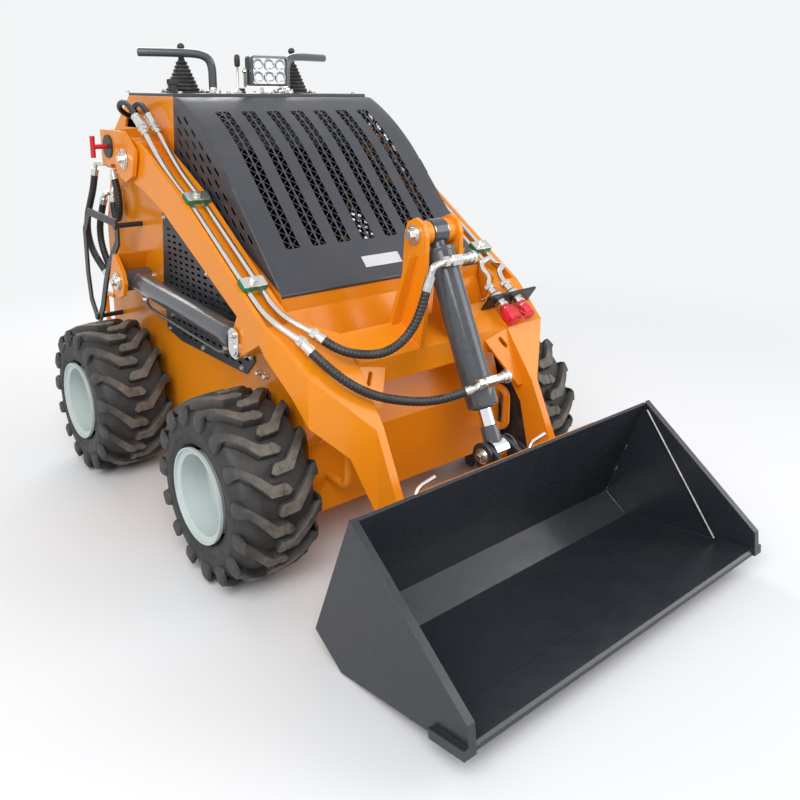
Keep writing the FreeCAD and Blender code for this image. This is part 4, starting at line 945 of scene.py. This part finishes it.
def make_couplers():
    """Couplers on the bracket, each with a ribbed dust cap on its strap."""
    caps, straps, bodies = forms(3)
    for x, (radius, length, strap) in zip(COUPLER_X, ((20.0, 40.0, 1), (16.0, 34.0, -1))):
        ribs = [(run, radius + 0.1, 0.9) for run in (6.0, length * 0.45, length * 0.8)]
        profile = [(0.0, radius * 0.9), (1.5, radius + 0.6), (5.0, radius + 0.8), *ribs,
                   (length * 0.86, radius - 0.4), (length * 0.95, radius * 0.88), (length + 0.6, radius * 0.62),
                   (length + 0.9, radius * 0.3)]
        lathe(caps, lower_point(x, CAP_RUN), LOWER_ALONG, profile, 48)
        collar, reach = lower_point(x, 80.0), lower_point(x, CAP_RUN + length)
        out = Vector((strap, 0, 0))
        lathe(straps, collar, LOWER_ALONG, ring_profile(7, 15.6, 0.5, 1.4), 32)
        route = [collar + LOWER_ALONG * 3 + out * 15, collar + out * 34 + LOWER_UP * 10,
                 lower_point(x + strap * 44, 104.0, 42.0), lower_point(x + strap * 40, 91.0 + length, 46.0),
                 reach + LOWER_UP * (radius * 0.6) + out * 12 + LOWER_ALONG * 5, reach + LOWER_ALONG * 0.5]
        sweep(straps, smooth_line(route, 4.0)[0], 1.9, 8)
        lathe(bodies, lower_point(x, 36.0), LOWER_ALONG, ring_profile(14.2, 17.2, 1.2, 0.8), 6, 0.4)
        lathe(bodies, lower_point(x, 59.0), LOWER_ALONG,
              [(0, 15.2), (1, 16.2), (4, 16.2), (5, 14.2), (12, 14.2), (13, 17.0), (20, 17.0), (21.4, 15.0)], 40)
    make_piece("coupler_caps", caps, "boom", "isolator_plastic", red_plastic, smooth=40.0)
    make_piece("coupler_straps", straps, "boom", "isolator_plastic", red_plastic)
    zinc_piece("coupler_bodies", bodies, "boom")


def nut_on(form, a, b, radius, length, shift):
    """A hexagon nut round a pipe, shifted from point a towards b."""
    toward = (Vector(b) - Vector(a)).normalized()
    lathe(form, Vector(a) + toward * shift, toward, ring_profile(length, radius, 1.2, radius * 0.1), 6, 0.5)


def make_pipe_nuts():
    """Union nuts at both ends of the pipes on the arms and at the ports of the cylinders."""
    form = Form()
    for side in (-1, 1):
        for x, rear, second in PIPES:
            a, b = Vector((side * x, *rear)), Vector((side * x, *second))
            span = (b - a).length
            nut_on(form, a, b, 14.5, 13.0, span - 20.0)
            nut_on(form, a, b, 14.5, 12.0, span - 36.0)
            lathe(form, a, b - a, ring_profile(9.5, 13.2, 0.5, 0.6), 24)
    for bend, start in (((-373, -155, 611), TILT_LOWER[0]), ((-334, -150, 621), TILT_UPPER[0])):
        a, b = Vector(bend), Vector(start)
        nut_on(form, a, b, 14.5, 14.0, -3.0)
        lathe(form, b, a - b, ring_profile(12.6, 13.4, 0.6, 0.8), 24)
    for x, last in zip(COUPLER_X, ((264, -126, 638), (330, -124, 640))):
        nut_on(form, last, lower_point(x, 32.0), 15.0, 13.0, 1.0)
    zinc_piece("pipe_nuts", form, "boom")


# Cylinders: the pins at both ends, and the direction across each

TILT_TOP, TILT_ROD = Vector((0, -190.0, 827.0)), Vector((0, -420.0, 328.0))
TILT_AXIS = (TILT_ROD - TILT_TOP).normalized()
TILT_AHEAD = Vector((0, TILT_AXIS.z, -TILT_AXIS.y))
LIFT_BASE, LIFT_TIP = Vector((0, 733.0, 597.0)), Vector((0, 50.0, 553.0))
BOOM_PIVOT = Vector((0, 615.0, 971.0))
LIFT_AXIS = (LIFT_TIP - LIFT_BASE).normalized()
LIFT_DOWN = Vector((0, -LIFT_AXIS.z, LIFT_AXIS.y))


def make_tilt_fittings():
    """Bright banjo ends on the tilt cylinder, its gland ring and band."""
    heads, rings, paint, eye = forms(4)
    for run in (85.0, 385.0):
        centre = TILT_TOP + TILT_AXIS * run + TILT_AHEAD * 47.0
        for x, profile, count, turn in (
                (40, ring_profile(12, 13.2, 1, 1.2), 24, 0.0),
                (51.6, [(0, 15.0), (1.2, 16.6), (7.0, 16.6), (8.6, 15.6), (9.4, 12.0), (9.6, 5.0)], 36, 0.0),
                (-16, ring_profile(32, 14.6, 1, 1.4), 6, 0.3),
                (-41, [(0, 11.0), (1, 13.8), (14, 13.8), (15, 11.4)], 6, 0.2)):
            lathe(heads, centre + Vector((x, 0, 0)), X_AXIS, profile, count, turn)
        lathe(paint, centre + Vector((24, 0, 0)) - TILT_AHEAD * 28.0, TILT_AHEAD,
              [(0, 13.0), (12, 12.5), (13, 11.0)], 24)
    end = (TILT_ROD - TILT_TOP).length - 109.5
    collar = TILT_TOP + TILT_AXIS * 44.0
    lathe(paint, TILT_TOP + TILT_AXIS * (end - 42), TILT_AXIS,
          [(0, 37.2), (1.0, 39.4), (36, 39.4), (38, 38.4), (41, 36.5), (42.5, 30.0)], 56)
    lathe(paint, collar, TILT_AXIS, [(-0.5, 34.0), (0.5, 37.6), (9, 37.6), (10, 37.05)], 56)
    lathe(rings, TILT_TOP + TILT_AXIS * (end + 0.4), TILT_AXIS,
          [(0, 19.0), (0.1, 27.0), (2.5, 27.0), (4, 24.0), (4.1, 18.6)], 40)
    weld(paint, [collar + Vector((x, 0, 0)) + TILT_AHEAD * 26.0 for x in (-12, 12)], 3.0)
    lathe(eye, TILT_ROD - TILT_AXIS * 64.0, TILT_AXIS, [(0, 18.2), (2, 21.0), (30, 22.5), (42, 22.5)], 36)
    zinc_piece("tilt_banjo_heads", heads, "tilt_barrel")
    make_piece("tilt_gland", paint, "tilt_barrel", "cylinder_paint", barrel_grey)
    make_piece("tilt_wiper", rings, "tilt_barrel", "cylinder_paint", boot_rubber)
    make_piece("tilt_eye_shank", eye, "tilt_rod", "cylinder_paint", barrel_grey)


def make_lift_fittings():
    """Gland, base band, ports and feed pipe of each lift cylinder."""
    end = (LIFT_TIP - LIFT_BASE).length - 62.4
    for name, side in SIDES:
        gland, ports, pipe = forms(3)

        def point(run, drop=0.0):
            return LIFT_BASE + Vector((side * ARM_X, 0, 0)) + LIFT_AXIS * run + LIFT_DOWN * drop

        lathe(gland, point(end - 36), LIFT_AXIS, [(0, 31.2), (1, 33.4), (30, 33.4), (33, 32.0), (36.5, 26.0)], 48)
        lathe(gland, point(44.0), LIFT_AXIS, [(-0.5, 28), (0.5, 31.7), (8, 31.7), (9, 31.05)], 48)
        for run in (70.0, end - 58.0):
            lathe(pipe, point(run, 29.0), LIFT_DOWN, [(0, 11.5), (9, 11.5), (10, 10.5)], 20)
            lathe(ports, point(run, 38.5), LIFT_DOWN, ring_profile(10, 10.4, 0.6, 0.9), 6, 0.2)
        route = [point(70.0, 44.0), point(80.0, 64.0), point(130.0, 68.0), point(end - 130.0, 68.0),
                 point(end - 67.0, 64.0), point(end - 58.0, 44.0)]
        sweep(pipe, smooth_line(route, 4.0)[0], 5.0, 12)
        barrel = "lift_barrel_" + name
        make_piece("lift_gland_" + name, gland, barrel, "cylinder_paint", barrel_grey)
        zinc_piece("lift_ports_" + name, ports, barrel)
        make_piece("lift_pipe_" + name, pipe, barrel, "cylinder_paint", barrel_grey)


# Pins, bolts and welds; the bucket's floor runs from its heel to its cutting edge

BUCKET_HALF, HEEL, CUTTING_EDGE = 487.0, (-472.0, 5.0), (-840.0, 62.0)


def make_pin_heads():
    """Washers, hexagon bolts and keeper plates on every pivot."""
    chassis, boom, bucket, washers = forms(4)
    for side in (-1, 1):
        out = (side, 0, 0)
        for pin in (BOOM_PIVOT, LIFT_BASE):
            lathe(chassis, (side * 442.2, pin.y, pin.z), out, [(0, 27.5), (0.8, 28.2), (3.0, 28.2), (3.6, 27.4)], 40)
            lathe(chassis, (side * 449.0, pin.y, pin.z), out, [(0, 24.6), (0.6, 24.0), (1.2, 22.0)], 40)
            hex_head(chassis, (side * 450.0, pin.y, pin.z), out, 19.0, 9.0)
        keeper = []
        for k in range(28):
            a = TURN * k / 28
            upper = math.sin(a) > 0
            keeper.append((side * 429.0, 48.5 + 23 * math.cos(a) - 1.5 * upper, 555 + 24 * math.sin(a) + 28 * upper))
        prism(boom, keeper, (side * 4.0, 0, 0))
        hex_head(boom, (side * 433.0, 46.0, 589.0), out, 13.0, 7.0)
        lathe(boom, (side * 432.6, LIFT_TIP.y, LIFT_TIP.z), out, [(0, 17.0), (2.4, 17.0), (3.2, 16.0), (3.4, 6.0)], 32)
        for form, x, pin, radius, across, height in ((boom, 67.8, TILT_TOP, 19.0, 24.0, 11.0),
                                                     (bucket, 46.8, TILT_ROD, 17.0, 19.0, 9.0)):
            lathe(form, (side * x, pin.y, pin.z), out, [(0, radius), (2.0, radius), (2.6, radius - 1.0)], 32)
            hex_head(form, (side * (x + 2.4), pin.y, pin.z), out, across, height)
        for inner in (-1, 1):
            hex_head(bucket, (side * (263.0 + inner * 28.0), -355.0, 140.0), (side * inner, 0, 0), 17.0, 8.0)
        for y in (66.0, 102.0):
            hex_head(chassis, (side * 333.2, y, 457.0), out, 13.0, 7.0)
        lathe(washers, (side * 39.2, TILT_ROD.y, TILT_ROD.z), out, ring_profile(7, 32.0, 1, 1.0), 40)
    zinc_piece("chassis_pin_bolts", chassis)
    zinc_piece("boom_pin_bolts", boom, "boom", bevel=0.5)
    zinc_piece("bucket_pin_bolts", bucket, "bucket")
    make_piece("tilt_pin_washers", washers, "bucket", "dark_paint", axle_black)


def make_welds():
    boom, bare, bucket = forms(3)
    for side in (-1, 1):
        for x, shift in ((50.0, -1.0), (62.0, 1.0)):
            weld(boom, [(side * (x + shift), -131, 601), (side * (x + shift), -212.5, 546)], 3.2, seed=x)
        weld(boom, [(side * 62.5, -206, 777), (side * 62.5, -140, 594)], 2.6, seed=4.0)
        weld(boom, [(side * 251, -131, 601), (side * 251, -212.5, 546), (side * 251, -205, 480)], 3.4, seed=9.0)
    make_piece("boom_welds", boom, "boom", "orange_paint", orange, smooth=60.0)
    floor_along = Vector((0, HEEL[0] - CUTTING_EDGE[0], HEEL[1] - CUTTING_EDGE[1])).normalized()
    floor_up = Vector((0, -floor_along.z, floor_along.y))
    for side in (-1, 1):
        x = side * (BUCKET_HALF + 0.5)
        heel, knee, lip = Vector((x, -468.5, 14.0)), Vector((x, -401.5, 58.0)), Vector((x, -506.0, 352.0))
        weld(bare, [lip.lerp(knee, 0.45), knee], 3.0, seed=side)
        weld(bucket, [lip, knee, heel, Vector((x, *CUTTING_EDGE)) + floor_up * 9.0], 3.4, seed=side * 2.0)
        top, low = Vector((side * 481.7, -507.0, 352.0)), Vector((side * 481.7, -744.0, 52.0))
        weld(bare, [top.lerp(low, 0.04), top.lerp(low, 0.97)], 3.0, seed=7.0 + side)
    make_piece("bucket_bare_welds", bare, "bucket", "bucket_paint", weld_metal, smooth=60.0)
    weld(bucket, [(-BUCKET_HALF, -466.0, 15.0), (BUCKET_HALF, -466.0, 15.0)], 2.0, seed=1.0)
    edge = Vector((0, *CUTTING_EDGE)) + floor_along * 90.0 + floor_up * 9.0
    weld(bucket, [edge + Vector((x, 0, 0)) for x in (-BUCKET_HALF, BUCKET_HALF)], 3.4, seed=3.0)
    make_piece("bucket_welds", bucket, "bucket", "bucket_paint", bucket_dark, smooth=60.0)


# Controls and lamp, on the console

CONSOLE_Z = 1150.0
LEVER_X, LEVER_Y = 196.0, 734.0
HANDLE_X, HANDLE_Y = 130.0, 667.0


def make_boots():
    """Bellows boots with their base plates, screws and knobs."""
    boots, knobs, plates, screws = forms(4)
    pleats, foot, rise = 8, 8.0, 88.0
    profile = [(5.5, 48.0), (foot, 49.0)]
    for k in range(pleats):
        share, tall = k / pleats, rise / pleats
        z, wide = foot + rise * share, 49.0 - 37.0 * share
        profile += [(z + tall * 0.30, wide + 1.2), (z + tall * 0.55, wide - 0.6), (z + tall * 0.80, wide - 5.0),
                    (z + tall * 0.93, wide - 5.6)]
    profile += [(97.0, 9.5), (104.0, 9.0), (105.5, 8.0)]
    knob = [(104.0, 7.6), (117.0, 6.4), (122.0, 5.6)]
    knob += [(135.0 - 11.0 * math.cos(math.radians(a)), 11.0 * math.sin(math.radians(a))) for a in range(30, 176, 12)]
    for side in (-1, 1):
        base = Vector((side * LEVER_X, LEVER_Y, CONSOLE_Z))
        prism(plates, [base + Vector((p, q, 0.5)) for p, q in rounded_ring(50.0, 50.0, 8.0)], (0, 0, 5.0))
        for x in (-43.5, 43.5):
            for y in (-43.5, 43.5):
                hex_head(screws, base + Vector((x, y, 5.4)), Z_AXIS, 8.0, 4.0)
        lathe(boots, base, Z_AXIS, profile, 40)
        lathe(knobs, base, Z_AXIS, knob, 32)
    make_piece("boots", boots, "chassis", "handle_grip", boot_rubber, smooth=50.0)
    make_piece("knobs", knobs, "chassis", "handle_grip", black_plastic, smooth=50.0, instead_of="drive_levers")
    make_piece("boot_plates", plates, "chassis", "dark_paint", axle_black, bevel=0.8)
    zinc_piece("boot_screws", screws)


def make_handles():
    """Bent handlebars with flanged feet, and the throttle lever."""
    bars, feet, throttle, grip = forms(4)
    for side in (-1, 1):
        route = [(HANDLE_X, HANDLE_Y, 1151), (HANDLE_X, HANDLE_Y, 1190), (HANDLE_X, HANDLE_Y, 1222),
                 (137, 669.5, 1249), (160, 678, 1263), (200, 693, 1266), (260, 715, 1266), (325, 739, 1266)]
        line, _ = smooth_line([(side * x, y, z) for x, y, z in route], 4.0)
        sweep(bars, line, 12.5, 20)
        round_head(bars, line[-1], line[-1] - line[-2], 12.4, 6.0)
        foot = Vector((side * HANDLE_X, HANDLE_Y, CONSOLE_Z + 0.5))
        lathe(feet, foot, Z_AXIS, [(0, 24.0), (6, 24.0), (7.5, 22.5), (8, 15.5), (11, 13.4), (16, 12.8)], 32)
        for k in range(4):
            a = math.pi * (0.25 + 0.5 * k)
            hex_head(feet, foot + Vector((18.5 * math.cos(a), 18.5 * math.sin(a), 7.5)), Z_AXIS, 6.0, 3.6)
    base = Vector((-60, 640, CONSOLE_Z))
    lathe(throttle, base, Z_AXIS, [(0.5, 13), (4, 13), (6, 10), (9, 6), (14, 3.4), (82, 3.1)], 20)
    lathe(grip, base, Z_AXIS, [(78, 5.0), (81, 8.2), (96, 9.0), (109, 8.2), (114, 5.5), (115, 2.0)], 24)
    make_piece("handle_bars", bars, "chassis", "handle_grip", barrel_grey, smooth=50.0, instead_of="grab_handles")
    zinc_piece("handle_feet", feet)
    zinc_piece("throttle_stem", throttle)
    make_piece("throttle_grip", grip, "chassis", "handle_grip", black_plastic, instead_of="throttle_lever")


def lamp_looks():
    lens = Look("lamp_lens")
    cell = lens.node("ShaderNodeTexVoronoi", {"Scale": 420.0, "Vector": lens.place}).outputs["Distance"]
    lens.finish((0.50, 0.52, 0.54), lens.grain((160.0, 2.0), 0.3, 0.7, 0.04, 0.10), cell, 0.35, 0.0010, Metallic=0.85)
    led = Look("lamp_led")
    glow = led.blend(led.grain((500.0, 2.0), 0.3, 0.7), (0.66, 0.62, 0.42), (0.78, 0.75, 0.58))
    led.feed(led.shader.inputs["Base Color"], glow)
    led.feed(led.shader.inputs["Roughness"], 0.35)
    return lens.material, led.material


def make_lamp_head():
    """Work lamp: finned housing, bezel, six reflectors and its bracket."""
    lens_look, led_look = lamp_looks()
    housing, bezel, lens, leds, bracket = forms(5)
    centre = Vector((0, 548.0, 1216.0))
    outer, inner = rounded_ring(65.0, 44.0, 9.0, 5), rounded_ring(58.0, 37.0, 5.0, 5)

    def ring_at(shape, y):
        return [centre + Vector((p, y, q)) for p, q in shape]

    prism(housing, ring_at(rounded_ring(64.5, 43.5, 8.0, 5), 10), (0, 26, 0))
    bezel.add(ring_at(outer, 11.0) + ring_at(outer, 1.0) + ring_at(inner, -0.5) + ring_at(inner, 7.0),
              tube_faces(4, len(outer), caps=False))
    for k in range(11):
        x = -55.0 + k * 11.0
        brick(housing, (x - 1.6, x + 1.6), (584.0, 599.5), (1180.0, 1252.0))
    prism(lens, ring_at(inner, 6.6), (0, 1.0, 0))
    cup, steps = [(17.5, 0.6), (17.0, -1.8), (16.0, -1.8), (11.0, 1.6), (6.5, 3.8), (4.4, 4.6)], 28
    for column in (-1, 0, 1):
        for row in (-1, 1):
            spot = centre + Vector((column * 38.0, 7.0, row * 18.0))
            corners = [spot + Vector((radius * math.cos(a), depth - 2.5, radius * math.sin(a)))
                       for radius, depth in cup for a in (TURN * k / steps for k in range(steps))]
            lens.add(corners, tube_faces(len(cup), steps, caps=False))
            lathe(leds, spot + Vector((0, 1.4, 0)), (0, -1, 0), [(0, 4.6), (0.8, 4.6), (1.6, 3.6)], 16)
    strap = [(-72, 1168), (72, 1168), (72, 1224), (69, 1224), (69, 1171), (-69, 1171), (-69, 1224), (-72, 1224)]
    prism(bracket, [Vector((x, 566, z)) for x, z in strap], (0, 18, 0))
    brick(bracket, (-14, 14), (562, 588), (1150.4, 1168.0))
    for side in (-1, 1):
        hex_head(bracket, (side * 72.0, 575.0, 1214.0), (side, 0, 0), 10.0, 5.0)
    lathe(bracket, (0, 575, 1150.4), Z_AXIS, [(0, 16), (4, 16), (5, 14)], 24)
    make_piece("lamp_housing", housing, "chassis", "lamp_body", black_plastic, bevel=0.8, instead_of="work_lamp")
    make_piece("lamp_bezel", bezel, "chassis", "lamp_body", barrel_grey, bevel=0.6)
    make_piece("lamp_reflectors", lens, "chassis", "lamp_body", lens_look, smooth=50.0, merge=False)
    make_piece("lamp_leds", leds, "chassis", "lamp_body", led_look)
    make_piece("lamp_bracket", bracket, "chassis", "lamp_body", zinc, bevel=0.6)


def make_console_trim():
    """Screws, a gauge and a switch on the console."""
    screws, gauge = forms(2)
    for x in (-300, -150, 0, 150, 300):
        for y in (536, 900):
            hex_head(screws, (x, y, CONSOLE_Z + 0.2), Z_AXIS, 10.0, 4.5)
    lathe(gauge, (-262, 664, 1150.3), Z_AXIS, [(0, 15), (3, 15), (4, 12), (24, 12), (25, 16), (38, 16), (40, 14)], 28)
    lathe(gauge, (-20, 690, 1150.3), Z_AXIS, [(0, 14), (4, 14), (5, 11), (14, 11), (15, 9)], 24)
    zinc_piece("console_screws", screws)
    make_piece("console_gauge", gauge, "chassis", "handle_grip", black_plastic)


# Nodes that keep their own solid

def masked_look(name, colour_a, colour_b, rough_a, rough_b, mask, metal_a=0.0, metal_b=1.0, third=None):
    """Two finishes on one solid, told apart by place, and a plain third one at its end."""
    look = Look(name)
    share = mask(look)
    fine = look.grain((60.0, 4.0), 0.35, 0.7)
    first, second = [look.blend(fine, c, scaled(c, 0.75)) for c in (colour_a, colour_b)]
    colour = look.blend(share, first, second)
    metal = look.spread(share, 0.0, 1.0, metal_a, metal_b)
    if third:
        end = third[0](look)
        colour = look.blend(end, colour, third[1])
        metal = look.maths("MULTIPLY", metal, look.maths("SUBTRACT", 1.0, end))
    return look.finish(colour, look.spread(share, 0.0, 1.0, rough_a, rough_b), look.noise(500.0, 2.0), 0.06, 0.0008,
                       look.edges(0.001)[1], Metallic=metal)


def off_axis(origin, direction, limit):
    """A mask of what lies further from a line than a limit, in metres."""
    def mask(look):
        shift = look.vector_maths("SUBTRACT", look.place, origin)[0]
        cross = look.vector_maths("CROSS_PRODUCT", shift, direction)[0]
        return look.maths("GREATER_THAN", look.vector_maths("LENGTH", cross)["Value"], limit)
    return mask


def along_axis(origin, direction, low, high):
    """A mask of what lies between two distances along a direction, in metres."""
    def mask(look):
        shift = look.vector_maths("SUBTRACT", look.place, origin)[0]
        run = look.vector_maths("DOT_PRODUCT", shift, direction)["Value"]
        return look.maths("MULTIPLY", look.maths("GREATER_THAN", run, low), look.maths("LESS_THAN", run, high))
    return mask


def dress_nodes():
    black, slope_top, along = (0.018, 0.018, 0.019), at(*lower_point(0, 0, 0)), tuple(LOWER_ALONG)
    barrel_mix = masked_look("tilt_barrel_paint", GREY_PAINT, BRIGHT_ZINC, 0.15, 0.26,
                             off_axis(at(*TILT_TOP), tuple(TILT_AXIS), 0.0385))
    coupler_mix = masked_look("coupler_finish", BRIGHT_ZINC, (0.02, 0.02, 0.022), 0.26, 0.4,
                              along_axis(slope_top, along, 0.021, 0.0582), 1.0, 0.0,
                              (along_axis(slope_top, along, 0.0913, 0.2), CAP_RED))
    handle_mix = masked_look("isolator_finish", black, (0.62, 0.012, 0.02), 0.42, 0.3,
                             along_axis(at(0, 0, 0), (-1, 0, 0), 0.4472, 0.6), 0.0, 0.0)
    corners = ("front_left", "front_right", "rear_left", "rear_right")
    looks = {
        orange: ("boom_arm_left", "boom_arm_right", "boom_cross_member", "tilt_tower", "tie_down_handles",
                 "attach_plate"),
        # The chassis frame and the front and rear panels get the orange with painted shade on their insides.
        wall_orange_shaded: ("chassis_frame",),
        front_orange_shaded: ("front_panel",),
        rear_orange_shaded: ("rear_panel",),
        panel_grey: ("console_top",),
        step_grey: ("step_platform",),
        axle_black: ("tilt_ears", "axle_housings", "hose_guard"),
        bucket_dark: ("bucket_shell",),
        barrel_grey: ("lift_barrel_left", "lift_barrel_right"),
        barrel_mix: ("tilt_barrel",),
        chrome: ("lift_rod_left", "lift_rod_right", "tilt_rod", "lock_handles"),
        zinc: ("chassis_pins", "lift_rod_pins", "bucket_pins", "tilt_rod_pin", "tilt_top_pin", "hydraulic_fittings"),
        pipe_steel: ("boom_pipes",),
        coupler_mix: ("couplers",),
        handle_mix: ("battery_isolator",),
        iron: ("engine_block",),
        rim_white: ["rim_" + corner for corner in corners],
        hub_steel: ["hub_" + corner for corner in corners],
    }
    for look, nodes in looks.items():
        for node in nodes:
            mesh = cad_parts[node].data
            mesh.materials.clear()
            mesh.materials.append(look)
            mesh.polygons.foreach_set("use_smooth", [True] * len(mesh.polygons))


make_camera()
make_hoses()
make_stage()
for end, wheel_y in (("front", 0.0), ("rear", WHEELBASE)):
    for side_name, x_side in SIDES:
        make_tyre(end + "_" + side_name, x_side, wheel_y)
        make_valve(end + "_" + side_name, x_side, wheel_y)
make_hood()
make_clamps()
make_couplers()
make_pipe_nuts()
make_tilt_fittings()
make_lift_fittings()
make_pin_heads()
make_welds()
make_boots()
make_handles()
make_lamp_head()
make_console_trim()
dress_nodes()
